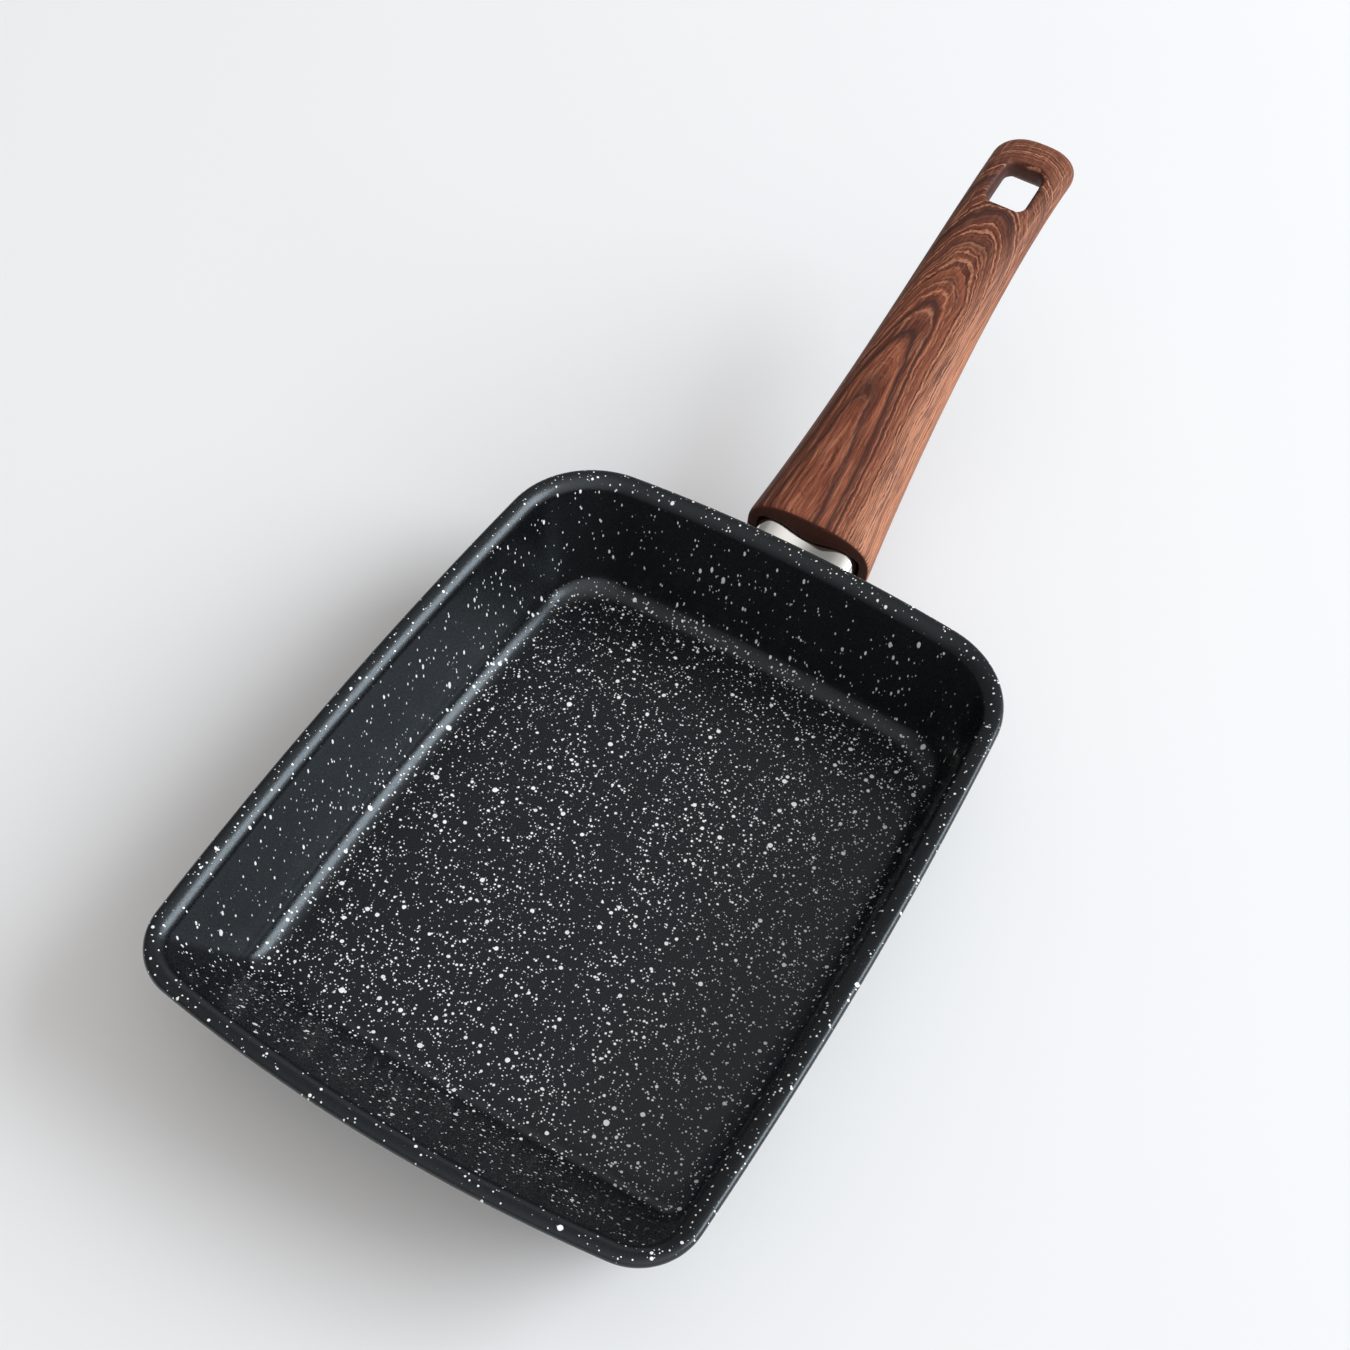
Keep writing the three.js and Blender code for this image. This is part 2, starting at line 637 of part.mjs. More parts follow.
function studWasher() {
  const disc = new THREE.Shape().absarc(0, 0, WASHER_DIAMETER / 2, 0, 2 * Math.PI);
  return bored(disc, STUD_DIAMETER / 2 + GAP, WASHER_LOW, WASHER_LOW + WASHER_THICKNESS);
}

function studNut() {
  const corner = NUT_FLATS / 2 / Math.cos(Math.PI / 6);
  const hexagon = toothed(corner, corner, 3);
  return bored(hexagon, STUD_DIAMETER / 2 + GAP, NUT_LOW, NUT_LOW + NUT_HEIGHT);
}

function handleScrew() {
  const head = HEAD_DIAMETER / 2;
  const shank = SCREW_DIAMETER / 2;
  const dome = steps(0, QUARTER_TURN, EDGE_STEPS).map((turn) => [
    head - HEAD_HEIGHT / 2 * (1 - Math.sin(turn)), HEAD_LOW + HEAD_HEIGHT / 2 * (1 - Math.cos(turn)),
  ]);
  const blank = turned([
    [0, HEAD_LOW], ...dome, [head, HEAD_TOP], [shank, HEAD_TOP],
    [shank, INSERT_TOP - shank / 2], [shank / 2, INSERT_TOP], [0, INSERT_TOP],
  ]);
  const slots = [0, QUARTER_TURN].map((turn) => {
    const slot = new THREE.BoxGeometry(RECESS_LENGTH, RECESS_WIDTH, 2 * RECESS_DEPTH);
    return slot.rotateZ(turn).translate(0, 0, HEAD_LOW);
  });
  return cut(blank, slots);
}

function screwWasher() {
  const split = degToRad(LOCK_SPLIT);
  const ring = new THREE.Shape();
  ring.absarc(0, 0, LOCK_DIAMETER / 2, split, 2 * Math.PI - split, false);
  ring.absarc(0, 0, SCREW_DIAMETER / 2 + GAP, 2 * Math.PI - split, split, true);
  return extruded(ring, LOCK_LOW, LOCK_LOW + LOCK_THICKNESS);
}

function handleInsert() {
  const radius = INSERT_DIAMETER / 2;
  const knurled = toothed(radius, radius - KNURL_DEPTH, KNURLS);
  return bored(knurled, SCREW_DIAMETER / 2 + GAP, CAVITY_TOP, INSERT_TOP);
}

const STUDS = { left: studPoint(STUD_SPACING / 2), right: studPoint(-STUD_SPACING / 2) };

function handleBracket() {
  const studHole = () => rod(STUD_DIAMETER / 2 + GAP, -OVERRUN, WASHER_LOW + OVERRUN);
  const screwHole = rod(SCREW_DIAMETER / 2 + PLAY, -OVERRUN, OVERRUN);
  const studHoles = Object.values(STUDS).map((point) => seated(studHole(), point));
  return cut(bracketBlank(), [...studHoles, seated(screwHole, SCREW_POINT)]);
}

function handle() {
  const shankHole = rod(SCREW_DIAMETER / 2 + PLAY, SEAT_HEIGHT - GAP, 0);
  const headRoom = Math.max(HEAD_DIAMETER, LOCK_DIAMETER) / 2 + PLAY;
  const counterbore = rod(headRoom, HEAD_LOW - FRONT_THICKNESS, SEAT_HEIGHT);
  const insertPocket = rod(INSERT_DIAMETER / 2 + GAP, 0, INSERT_TOP + GAP);
  const drilled = [shankHole, counterbore, insertPocket].map((tool) => seated(tool, SCREW_POINT));
  return cut(handleBlank(), [handleCavity(), hangingHole(), ...drilled]);
}

// Materials

const coating = { color: 0x232427, roughness: 0.42, metalness: 0.1 };
const polishedSteel = { color: 0xd9d9d6, roughness: 0.12, metalness: 1 };
const woodGrain = { color: 0x7d4a37, roughness: 0.45, metalness: 0 };
const aluminium = { color: 0xb9bcc0, roughness: 0.4, metalness: 1 };
const platedSteel = { color: 0xb4b1a8, roughness: 0.3, metalness: 1 };
const brass = { color: 0xb5964f, roughness: 0.35, metalness: 1 };

const pan = new THREE.Group();

function addPiece(name, geometry, finish, seat) {
  const mesh = new THREE.Mesh(geometry, new THREE.MeshStandardMaterial(finish));
  mesh.name = name;
  if (seat) {
    mesh.position.set(seat.x, seat.y, seat.z);
    mesh.rotation.y = seat.turn;
  }
  pan.add(mesh);
}

addPiece('pan_body', panBody(), coating);
addPiece('handle_bracket', handleBracket(), polishedSteel);
for (const [side, seat] of Object.entries(STUDS)) {
  addPiece(`weld_stud_${side}`, weldStud(), aluminium, seat);
  addPiece(`stud_washer_${side}`, studWasher(), platedSteel, seat);
  addPiece(`stud_nut_${side}`, studNut(), platedSteel, seat);
}
addPiece('handle', handle(), woodGrain);
addPiece('handle_screw', handleScrew(), platedSteel, SCREW_POINT);
addPiece('screw_washer', screwWasher(), platedSteel, SCREW_POINT);
addPiece('handle_insert', handleInsert(), brass, SCREW_POINT);

export default pan;
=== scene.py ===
"""Looks of a rectangular frying pan: speckled coated shell, polished bracket, wood-grain handle.

Sizes are in millimetres, as in the part's source, and become metres when a mesh is made.
+X points to the handle, +Y to the left, and the origin is on the underside of the base.
"""
import math

import bmesh
import bpy
import numpy as np
from mathutils import Matrix, Vector


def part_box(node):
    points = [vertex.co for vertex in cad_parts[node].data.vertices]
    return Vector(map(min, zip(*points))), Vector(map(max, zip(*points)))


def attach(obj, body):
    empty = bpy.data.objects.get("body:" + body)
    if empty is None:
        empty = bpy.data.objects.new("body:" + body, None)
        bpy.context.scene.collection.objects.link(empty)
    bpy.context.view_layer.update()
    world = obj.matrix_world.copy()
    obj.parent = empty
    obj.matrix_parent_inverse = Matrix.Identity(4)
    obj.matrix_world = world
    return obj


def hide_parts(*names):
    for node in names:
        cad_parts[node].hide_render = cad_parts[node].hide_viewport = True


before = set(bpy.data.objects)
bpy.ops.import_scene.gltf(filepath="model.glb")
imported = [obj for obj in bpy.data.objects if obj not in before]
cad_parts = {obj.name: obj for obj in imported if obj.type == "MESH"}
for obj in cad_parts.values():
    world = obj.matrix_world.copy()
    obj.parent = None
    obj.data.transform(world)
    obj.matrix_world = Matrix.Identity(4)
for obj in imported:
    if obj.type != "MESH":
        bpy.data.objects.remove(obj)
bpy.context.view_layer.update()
scene = bpy.context.scene
MM = 0.001
QUARTER = math.pi / 2
FULL_TURN = 2 * math.pi

# Pan shell
RIM_LENGTH = 199.5
RIM_WIDTH = 150.6
PAN_HEIGHT = 42.5
PAN_SHEET = 2.6
LIP_FLAT = 0.9
LIP_BEND = 1
WALL_DRAFT = math.radians(7.5)
FRONT_DRAFT = math.radians(33.5)
FLOOR_FILLET = 6
FRONT_FILLET = 12
FRONT_BOW = 6.6
BACK_BOW = 6.5
SIDE_BOW = 3.7
FRONT_FLOOR_BOW = 1.5
BACK_FLOOR_BOW = 3
FRONT_CORNER = 16.5
BACK_CORNER = 26.9
FRONT_FLOOR_CORNER = 5.5
BACK_FLOOR_CORNER = 17
FLOOR_MARGIN = 1.5

# Bracket
BRACKET_SHEET = 1.8
BRACKET_WIDTH = 31
BRACKET_SHOULDER = 3.3
BRACKET_FLANGE = 3
BRACKET_BEND = 10
BRACKET_DROP = 6.7
FOOT_LENGTH = 20
FOOT_FLANGE = 1
GROOVE_DEPTH = 2
GROOVE_WIDTH = 21
NECK_LENGTH = 14
TONGUE_WIDTH = 20
TONGUE_LENGTH = 46
TONGUE_SHOULDER = 2
TONGUE_FLANGE = 0.8
SHEET_CORNER = 4
GAP = 0.3

# Handle
HANDLE_GAP = 8.5
HANDLE_LENGTH = 145.7
HANDLE_ANGLE = math.radians(19)
HANDLE_RISE = 36.2
HANDLE_ROOF = 6
HANDLE_SIDE = 3.3
HANDLE_FLOOR = 3
NECK_WIDTH = 26
WAIST_WIDTH = 23.8
TAIL_WIDTH = 26.1
TAIL_THICKNESS = 7
TAIL_ROUND = 11
FRONT_EDGE = 1
MOUTH_ROOM = 4
MOUTH_CLEARANCE = 0.6
TONGUE_CLEARANCE = 0.4
CROWN_SHARE = 0.54
SECTION_POWER = 2.7
TAIL_POWER = 2.3
TAIL_EDGE_POWER = 6
MOUTH_POWER = 5
SLOT_POWER = 10
HOLE_LENGTH = 17.2
HOLE_WIDTH = 11.4
HOLE_CORNER = 3.2
HOLE_EDGE = 3
HOLE_TO_TAIL = 14

# Studs, washers and nuts, and the handle's screw, split washer and insert
STUD_DIAMETER = 5
STUD_PROUD = 1.5
STUD_CHAMFER = 0.6
STUD_SPACING = 12
STUD_DROP = 12.5
STUD_PITCH = 0.8
WASHER_DIAMETER = 10
WASHER_THICKNESS = 1
WASHER_EDGE = 0.3
NUT_FLATS = 8
NUT_HEIGHT = 4
NUT_EASE = 0.3
SCREW_DIAMETER = 4.8
SCREW_PLACE = 34
SCREW_SEAT = 2.6
HEAD_DIAMETER = 8.6
HEAD_HEIGHT = 2.8
HEAD_EASE = 0.2
RECESS_WIDTH = 1.3
RECESS_LENGTH = 5
RECESS_DEPTH = 1.7
LOCK_DIAMETER = 8.2
LOCK_THICKNESS = 1.1
LOCK_EDGE = 0.15
LOCK_SPLIT = math.radians(12)
INSERT_DIAMETER = 7.6
INSERT_HEIGHT = 3.6
PLAY = 0.4

# Edges whose faces turn by more than this stay hard
SHARP_ANGLE = math.radians(40)


def steps(start, end, count):
    return [start + (end - start) * i / count for i in range(count + 1)]


def lerp(a, b, share):
    return a + (b - a) * share


def smoothstep(value, low, high):
    share = min(max((value - low) / (high - low), 0), 1)
    return share * share * (3 - 2 * share)


def signed_power(value, power):
    return math.copysign(abs(value) ** power, value)


def solid_mesh(name, points, faces):
    """A mesh from points in millimetres, with its faces turned outwards."""
    mesh = bpy.data.meshes.new(name)
    mesh.from_pydata([Vector(p) * MM for p in points], [], faces)
    work = bmesh.new()
    work.from_mesh(mesh)
    bmesh.ops.recalc_face_normals(work, faces=work.faces)
    work.to_mesh(mesh)
    work.free()
    return mesh


def show(mesh, name):
    piece = bpy.data.objects.new(name, mesh)
    scene.collection.objects.link(piece)
    return piece


def carved(mesh, cutters, finish=()):
    """The mesh with the cutters taken out of it, and then the finish modifiers laid over it."""
    body = show(mesh, "blank")
    tools = [show(cutter, "cutter") for cutter in cutters]
    for tool in tools:
        cut = body.modifiers.new("cut", "BOOLEAN")
        cut.operation = "DIFFERENCE"
        cut.solver = "MANIFOLD"
        cut.object = tool
    for kind, settings in finish:
        modifier = body.modifiers.new(kind, kind)
        for key, value in settings.items():
            setattr(modifier, key, value)
    seen = body.evaluated_get(bpy.context.evaluated_depsgraph_get())
    result = bpy.data.meshes.new_from_object(seen)
    for helper in [body] + tools:
        bpy.data.objects.remove(helper)
    return result


def add_piece(name, mesh, material, node):
    """Shows the mesh as a piece of the part, in place of the named solid and inside its box."""
    low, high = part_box(node)
    for vertex in mesh.vertices:
        vertex.co = [min(max(c, a), b) for c, a, b in zip(vertex.co, low, high)]
    mesh.materials.clear()
    mesh.materials.append(material)
    mesh.shade_smooth()
    mesh.set_sharp_from_angle(angle=SHARP_ANGLE)
    piece = show(mesh, name)
    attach(piece, "root")
    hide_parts(node)


def skin(rings):
    """Points and faces of a skin over rings with equal point counts, with a face over each end."""
    count = len(rings[0])
    points = [p for ring in rings for p in ring]
    faces = []
    for row in range(len(rings) - 1):
        for i in range(count):
            a, b = row * count + i, row * count + (i + 1) % count
            faces.append((a, b, b + count, a + count))
    last = (len(rings) - 1) * count
    faces.append(tuple(reversed(range(count))))
    faces.append(tuple(range(last, last + count)))
    return points, faces


def closed_skin(rings):
    """A skin over rings that come back to the first one."""
    count = len(rings[0])
    faces = []
    for row in range(len(rings)):
        below = (row + 1) % len(rings) * count
        for i in range(count):
            after = (i + 1) % count
            faces.append((row * count + i, row * count + after, below + after, below + i))
    return [p for ring in rings for p in ring], faces


# Node materials

# Places of the colour sockets on a Mix node
MIX_FIRST = 6
MIX_SECOND = 7
MIX_RESULT = 2


def linear(red, green, blue):
    """A colour of 0 to 255 as linear light."""
    def channel(value):
        value /= 255
        return value / 12.92 if value <= 0.04045 else ((value + 0.055) / 1.055) ** 2.4
    return (channel(red), channel(green), channel(blue), 1)


class Nodes:
    """The node tree of a material or a world, with short calls for the nodes that are used here."""

    def __init__(self, owner, shader="Principled BSDF"):
        owner.use_nodes = True
        self.owner = owner
        self.tree = owner.node_tree
        self.shader = self.tree.nodes[shader]

    def add(self, kind, settings=None, **inputs):
        node = self.tree.nodes.new(kind)
        for key, value in (settings or {}).items():
            setattr(node, key, value)
        for key, value in inputs.items():
            self.feed(node.inputs[key.replace("_", " ")], value)
        return node

    def feed(self, socket, value):
        if isinstance(value, bpy.types.NodeSocket):
            self.tree.links.new(value, socket)
        else:
            socket.default_value = value

    def math(self, operation, *values, clamp=False):
        node = self.tree.nodes.new("ShaderNodeMath")
        node.operation = operation
        node.use_clamp = clamp
        for socket, value in zip(node.inputs, values):
            self.feed(socket, value)
        return node.outputs[0]

    def plus(self, first, second):
        return self.math("ADD", first, second)

    def times(self, first, second):
        return self.math("MULTIPLY", first, second)

    def greatest(self, values):
        result = values[0]
        for value in values[1:]:
            result = self.math("MAXIMUM", result, value)
        return result

    def vector_math(self, operation, first, second):
        node = self.tree.nodes.new("ShaderNodeVectorMath")
        node.operation = operation
        self.feed(node.inputs[0], first)
        self.feed(node.inputs[1], second)
        return node.outputs["Value" if operation == "DOT_PRODUCT" else "Vector"]

    def scaled(self, vector, scale):
        return self.vector_math("MULTIPLY", vector, scale)

    def shifted(self, vector, offset):
        return self.vector_math("ADD", vector, offset)

    def noise(self, vector, scale, detail=2, roughness=0.5, colour=False):
        node = self.add("ShaderNodeTexNoise", Vector=vector, Scale=scale, Detail=detail,
                        Roughness=roughness)
        return node.outputs["Color"] if colour else node.outputs[0]

    def line_noise(self, value, scale, detail, roughness):
        """Noise along one number."""
        return self.add("ShaderNodeTexNoise", {"noise_dimensions": "1D"}, W=value, Scale=scale,
                        Detail=detail, Roughness=roughness).outputs[0]

    def span(self, value, low, high, out_low=0, out_high=1, soft=False):
        """value moved from low..high to out_low..out_high, and held at the ends."""
        node = self.add("ShaderNodeMapRange", Value=value)
        node.interpolation_type = "SMOOTHSTEP" if soft else "LINEAR"
        sockets = ("From Min", "From Max", "To Min", "To Max")
        for name, number in zip(sockets, (low, high, out_low, out_high)):
            self.feed(node.inputs[name], number)
        return node.outputs[0]

    def swing(self, noise, reach):
        """Noise of 0 to 1 as a shift of -reach to reach."""
        return self.span(noise, 0, 1, -reach, reach)

    def mix(self, share, first, second):
        node = self.tree.nodes.new("ShaderNodeMix")
        node.data_type = "RGBA"
        self.feed(node.inputs["Factor"], share)
        self.feed(node.inputs[MIX_FIRST], first)
        self.feed(node.inputs[MIX_SECOND], second)
        return node.outputs[MIX_RESULT]

    def bump(self, height, distance, strength):
        return self.add("ShaderNodeBump", Height=height, Distance=distance, Strength=strength).outputs[0]

    def place(self):
        """Position on the part, in metres: every piece's object sits at the origin."""
        return self.add("ShaderNodeTexCoord").outputs["Object"]

    def parts_of(self, vector):
        return self.add("ShaderNodeSeparateXYZ", Vector=vector).outputs

    def attribute(self, name):
        return self.add("ShaderNodeAttribute", {"attribute_name": name}).outputs

    def finish(self, **inputs):
        for key, value in inputs.items():
            self.feed(self.shader.inputs[key.replace("_", " ")], value)
        return self.owner


def new_paint(name):
    return Nodes(bpy.data.materials.new(name))


# White drops in the coating: cell size, radius of the least and the greatest drop, all in millimetres, and
# how rare the great ones are. A cell whose radius comes out below zero has no drop.
SPECK_LAYERS = ((0.7, -0.12, 0.26, 1.1), (1.3, -0.1, 0.4, 1.2), (2.7, -0.1, 0.66, 1.4), (5, -0.3, 0.8, 1))
# Soft edge of a drop, and how far its outline strays
SPECK_EDGE = 0.05
SPECK_STRAY = 0.25
# Drops lie in sparse and dense clouds. Walls have fewer, drawn out downwards: a face counts as a wall or
# as floor by how far its normal points up. Towards the lip their share falls between two heights.
SPECK_SPARSE = 0.6
SPECK_DENSE = 1.02
WALL_SPECKS = 0.36
WALL_STRETCH = 0.42
WALL_UP = 0.25
FLOOR_UP = 0.9
LIP_SPECKS = 0.5
LIP_FROM = 30
LIP_TO = 39
# Noise scales per metre: strayed outlines, clouds, grain of the surface, shade and gloss
STRAY_NOISE = 1100
CLOUD_NOISE = 38
GRAIN_NOISE = 2800
SHADE_NOISE = 1900
GLOSS_NOISE = 3100
COAT_DARK = linear(8, 10, 12)
COAT_LIGHT = linear(17, 19, 23)
COAT_SPECULAR = 0.6
COAT_SPECULAR_TINT = (0.85, 0.94, 1, 1)
COAT_SMOOTH = 0.18
COAT_ROUGH = 0.35
COAT_RELIEF = 0.04
DROP_RELIEF = 0.8
SPECK_DIM = linear(228, 229, 230)
SPECK_BRIGHT = linear(254, 254, 253)


def speckled_coating():
    m = new_paint("speckled_coating")
    place = m.place()
    stray = m.shifted(m.noise(place, STRAY_NOISE, 1, colour=True), (-0.5,) * 3)
    strayed = m.shifted(place, m.scaled(stray, (SPECK_STRAY * MM,) * 3))
    spray = m.scaled(strayed, (1, 1, WALL_STRETCH))
    upright = m.parts_of(m.add("ShaderNodeNewGeometry").outputs["Normal"])[2]
    height = m.parts_of(place)[2]
    density = m.span(m.noise(place, CLOUD_NOISE), 0.3, 0.7, SPECK_SPARSE, SPECK_DENSE)
    density = m.times(density, m.span(upright, WALL_UP, FLOOR_UP, WALL_SPECKS, 1))
    density = m.times(density, m.span(height, LIP_FROM * MM, LIP_TO * MM, 1, LIP_SPECKS))
    covers, tones = [], []
    for cell, least, greatest, rarity in SPECK_LAYERS:
        cells = m.add("ShaderNodeTexVoronoi", Vector=spray, Scale=1 / (cell * MM))
        chance = m.add("ShaderNodeSeparateColor", Color=cells.outputs["Color"]).outputs
        size = m.math("POWER", chance[0], rarity)
        radius = m.span(size, m.math("SUBTRACT", 1, density), 1, least / cell, greatest / cell)
        inside = m.math("SUBTRACT", radius, cells.outputs["Distance"])
        inside = m.math("MULTIPLY_ADD", inside, cell / SPECK_EDGE, 0.5, clamp=True)
        covers.append(inside)
        tones.append(m.times(inside, m.span(chance[1], 0, 0.75, 0.25, 1)))
    cover = m.greatest(covers)
    coat = m.mix(m.span(m.noise(place, SHADE_NOISE, 3), 0.35, 0.7), COAT_DARK, COAT_LIGHT)
    drops = m.mix(m.greatest(tones), SPECK_DIM, SPECK_BRIGHT)
    relief = m.math("MULTIPLY_ADD", cover, DROP_RELIEF, m.noise(place, GRAIN_NOISE, 2, 0.6))
    return m.finish(
        Base_Color=m.mix(cover, coat, drops),
        Roughness=m.span(m.noise(place, GLOSS_NOISE, 1), 0.35, 0.65, COAT_SMOOTH, COAT_ROUGH),
        Specular_IOR_Level=COAT_SPECULAR,
        Specular_Tint=COAT_SPECULAR_TINT,
        Normal=m.bump(relief, COAT_RELIEF * MM, 0.9),
    )


# Bracket's steel: fine lines along the drawn sheet, and smears. Noise scales are per metre.
STEEL_DARK = linear(222, 221, 217)
STEEL_LIGHT = linear(238, 236, 232)
STEEL_LINES = (60, 2600, 2600)
STEEL_SMEARS = 120
STEEL_RELIEF = 0.002


def polished_steel():
    m = new_paint("polished_steel")
    place = m.place()
    lines = m.noise(m.scaled(place, STEEL_LINES), 1)
    smears = m.noise(place, STEEL_SMEARS, 3)
    return m.finish(
        Base_Color=m.mix(smears, STEEL_DARK, STEEL_LIGHT),
        Metallic=1,
        Roughness=m.plus(m.span(smears, 0.35, 0.7, 0.05, 0.1), m.span(lines, 0.3, 0.7, 0, 0.03)),
        Normal=m.bump(lines, STEEL_RELIEF * MM, 0.3),
    )


# Fasteners' metals: marks of turning, and stains. Noise scales are per metre.
METAL_MARKS = 1400
METAL_STAINS = 260
METAL_RELIEF = 0.01


def bare_metal(name, dark, light, roughness):
    m = new_paint(name)
    place = m.place()
    marks = m.noise(place, METAL_MARKS, 3)
    stains = m.noise(place, METAL_STAINS)
    return m.finish(
        Base_Color=m.mix(stains, dark, light),
        Metallic=1,
        Roughness=m.span(stains, 0.3, 0.7, roughness - 0.06, roughness + 0.08),
        Normal=m.bump(marks, METAL_RELIEF * MM, 0.5),
    )


# Printed wood, in millimetres along the handle and across it, to the right. Growth layers lie one inside
# the other and sink towards the tail, so each shows as an arch. An arch with its tip at q is, at a place
# p before the tip, the root of ARCH_SPREAD * (exp(ARCH_RATE * q) - exp(ARCH_RATE * p)) off the heart.
GRAIN_WRAP = 12
ARCH_SPREAD = 4.87
ARCH_RATE = 0.0355
# Dark rings: place of the tip, width and strength
DARK_RINGS = (
    (44, 10, 0.75), (63, 5, 1), (73.5, 4, 1), (83.5, 2.6, 0.6),
    (97.5, 4, 0.7), (110.5, 4.5, 1), (127, 6, 0.8),
)
# The heart moves across between two places along the handle
HEART_FROM = 40
HEART_TO = 110
HEART_FRONT = -3.8
HEART_TAIL = 0.5
# How far noise moves the heart, the arches, the layers and the rings
HEART_WANDER = 1.4
ARCH_SWAY = 3
LAYER_SWAY = 0.25
LAYER_JAG = 0.11
RING_JAG = 0.8
# Noise scales along and across, and along the layers
WANDER_NOISE = (0.03, 0.08, 1)
SWAY_NOISE = (0.1, 0.2, 1)
JAG_NOISE = (0.55, 0.8, 1)
PORE_NOISE = (0.2, 4.2, 1)
FLAKE_NOISE = (0.45, 0.6, 1)
STRAND_ALONG = 0.06
STRAND_ACROSS = 1.25
BAND_NOISE = 1.7
LINE_NOISE = 7
WOOD_DARK = linear(55, 31, 26)
WOOD_RED = linear(80, 35, 23)
WOOD_MID = linear(104, 57, 43)
WOOD_LIGHT = linear(150, 84, 60)
WOOD_FIBRE_AND_LIT_SIDE = linear(198, 136, 103)
WOOD_SPECULAR = 0.25
WOOD_SMOOTH = 0.5
WOOD_ROUGH = 0.64
WOOD_RELIEF = 0.06
FIBRE_RELIEF = 0.7
LINE_RELIEF = 0.5
# Bare moulding inside the film, with its noise scale per metre
MOULDING_NOISE = 700
MOULDING_DARK = linear(62, 35, 27)
MOULDING_LIGHT = linear(86, 49, 38)


def wood_grain():
    m = new_paint("wood_grain")
    grain = m.attribute("grain")["Vector"]
    along, across = m.parts_of(grain)[:2]
    wander = m.noise(m.scaled(grain, WANDER_NOISE), 1)
    sway = m.noise(m.scaled(grain, SWAY_NOISE), 1, 1)
    jag = m.noise(m.scaled(grain, JAG_NOISE), 1, 2, 0.6)
    pores = m.noise(m.scaled(grain, PORE_NOISE), 1, 3, 0.6)
    flakes = m.noise(m.scaled(grain, FLAKE_NOISE), 1)

    heart = m.span(along, HEART_FROM, HEART_TO, HEART_FRONT, HEART_TAIL, soft=True)
    off_heart = m.plus(m.math("SUBTRACT", across, heart), m.swing(wander, HEART_WANDER))
    spread = m.math("EXPONENT", m.times(along, ARCH_RATE))
    spread = m.plus(spread, m.math("DIVIDE", m.times(off_heart, off_heart), ARCH_SPREAD))
    arch = m.math("DIVIDE", m.math("LOGARITHM", spread, math.e), ARCH_RATE)
    arch = m.plus(arch, m.swing(sway, ARCH_SWAY))
    layer = m.plus(m.math("SQRT", spread), m.swing(sway, LAYER_SWAY))
    layer = m.plus(layer, m.swing(jag, LAYER_JAG))
    bands = m.span(m.line_noise(layer, BAND_NOISE, 1, 0.5), 0.36, 0.64)
    lines = m.line_noise(layer, LINE_NOISE, 1, 0.6)
    strands = m.add("ShaderNodeCombineXYZ", X=m.times(along, STRAND_ALONG),
                    Y=m.times(off_heart, STRAND_ACROSS))
    fibres = m.noise(strands.outputs[0], 1, 4, 0.65)

    ring_place = m.plus(arch, m.swing(jag, RING_JAG))
    rings = []
    for tip, width, strength in DARK_RINGS:
        rise = m.span(ring_place, tip - width, tip, 0, strength, soft=True)
        fall = m.span(ring_place, tip, tip + width / 2, strength, 0, soft=True)
        rings.append(m.math("MINIMUM", rise, fall))
    late = m.times(m.greatest(rings), m.span(across, 4, 11, 0.92, 0.45))
    early = m.math("SUBTRACT", 1, late)
    beside = m.span(m.math("ABSOLUTE", off_heart), 6, 10)
    straight = m.times(m.greatest((m.span(arch, 50, 95, 1, 0.35), beside)), early)
    porous = m.times(m.span(flakes, 0.36, 0.56, 0.15, 1), m.span(arch, 45, 80, 0.3, 1))
    porous = m.times(porous, early)

    # Tints laid over each other, each with its share: the light front, painted light on the right side, the
    # darker tail,
    # # painted shade on the left side, the dark rings, then dark and light lines and fibres, and the pores
    colour = m.mix(bands, WOOD_MID, WOOD_LIGHT)
    for share, tint in (
        (m.span(arch, 30, 42, 0.6, 0, soft=True), WOOD_LIGHT),
        # painted light: the right side made lighter in the fibre colour, as if lit from there, less so
        # towards the tail
        (m.times(m.span(across, 5, 9, 0, 0.7), m.span(along, 65, 125, 1, 0.35)), WOOD_FIBRE_AND_LIT_SIDE),
        (m.span(along, 65, 105, 0, 0.4, soft=True), WOOD_DARK),
        # painted shade: the left side made darker
        (m.span(across, -12, -3, 0.5, 0), WOOD_DARK),
        (late, WOOD_DARK),
        (m.times(m.span(fibres, 0.38, 0.5, 0.9, 0), straight), WOOD_RED),
        (m.times(m.span(lines, 0.38, 0.48, 0.95, 0), porous), WOOD_RED),
        (m.times(m.span(lines, 0.54, 0.64, 0, 0.72), porous), WOOD_FIBRE_AND_LIT_SIDE),
        (m.times(m.span(fibres, 0.52, 0.7, 0, 0.7), straight), WOOD_FIBRE_AND_LIT_SIDE),
        (m.span(pores, 0.3, 0.42, 0.4, 0), WOOD_DARK),
    ):
        colour = m.mix(share, colour, tint)
    film = m.times(m.attribute("film")["Fac"], m.span(along, 0.3, 0.5))
    moulding = m.mix(m.noise(m.place(), MOULDING_NOISE, 3), MOULDING_DARK, MOULDING_LIGHT)
    relief = m.plus(m.times(fibres, FIBRE_RELIEF), m.times(lines, m.times(porous, LINE_RELIEF)))
    return m.finish(
        Base_Color=m.mix(film, moulding, colour),
        Roughness=m.span(fibres, 0.3, 0.7, WOOD_SMOOTH, WOOD_ROUGH),
        Specular_IOR_Level=WOOD_SPECULAR,
        Normal=m.bump(relief, WOOD_RELIEF * MM, 0.7),
    )


# Pan shell, over the same levels and outlines as the solid but with more rings

# Radius of the lip's inner bend: it runs into the same wall as the solid's, but starts a little lower
LIP_SOFT = 4.5
FILLET_STEPS = 14
WALL_STEPS = 5
LIP_STEPS = 12
EDGE_STEPS = 12
END_STEPS = 16
CORNER_STEPS = 22
SIDE_STEPS = 26


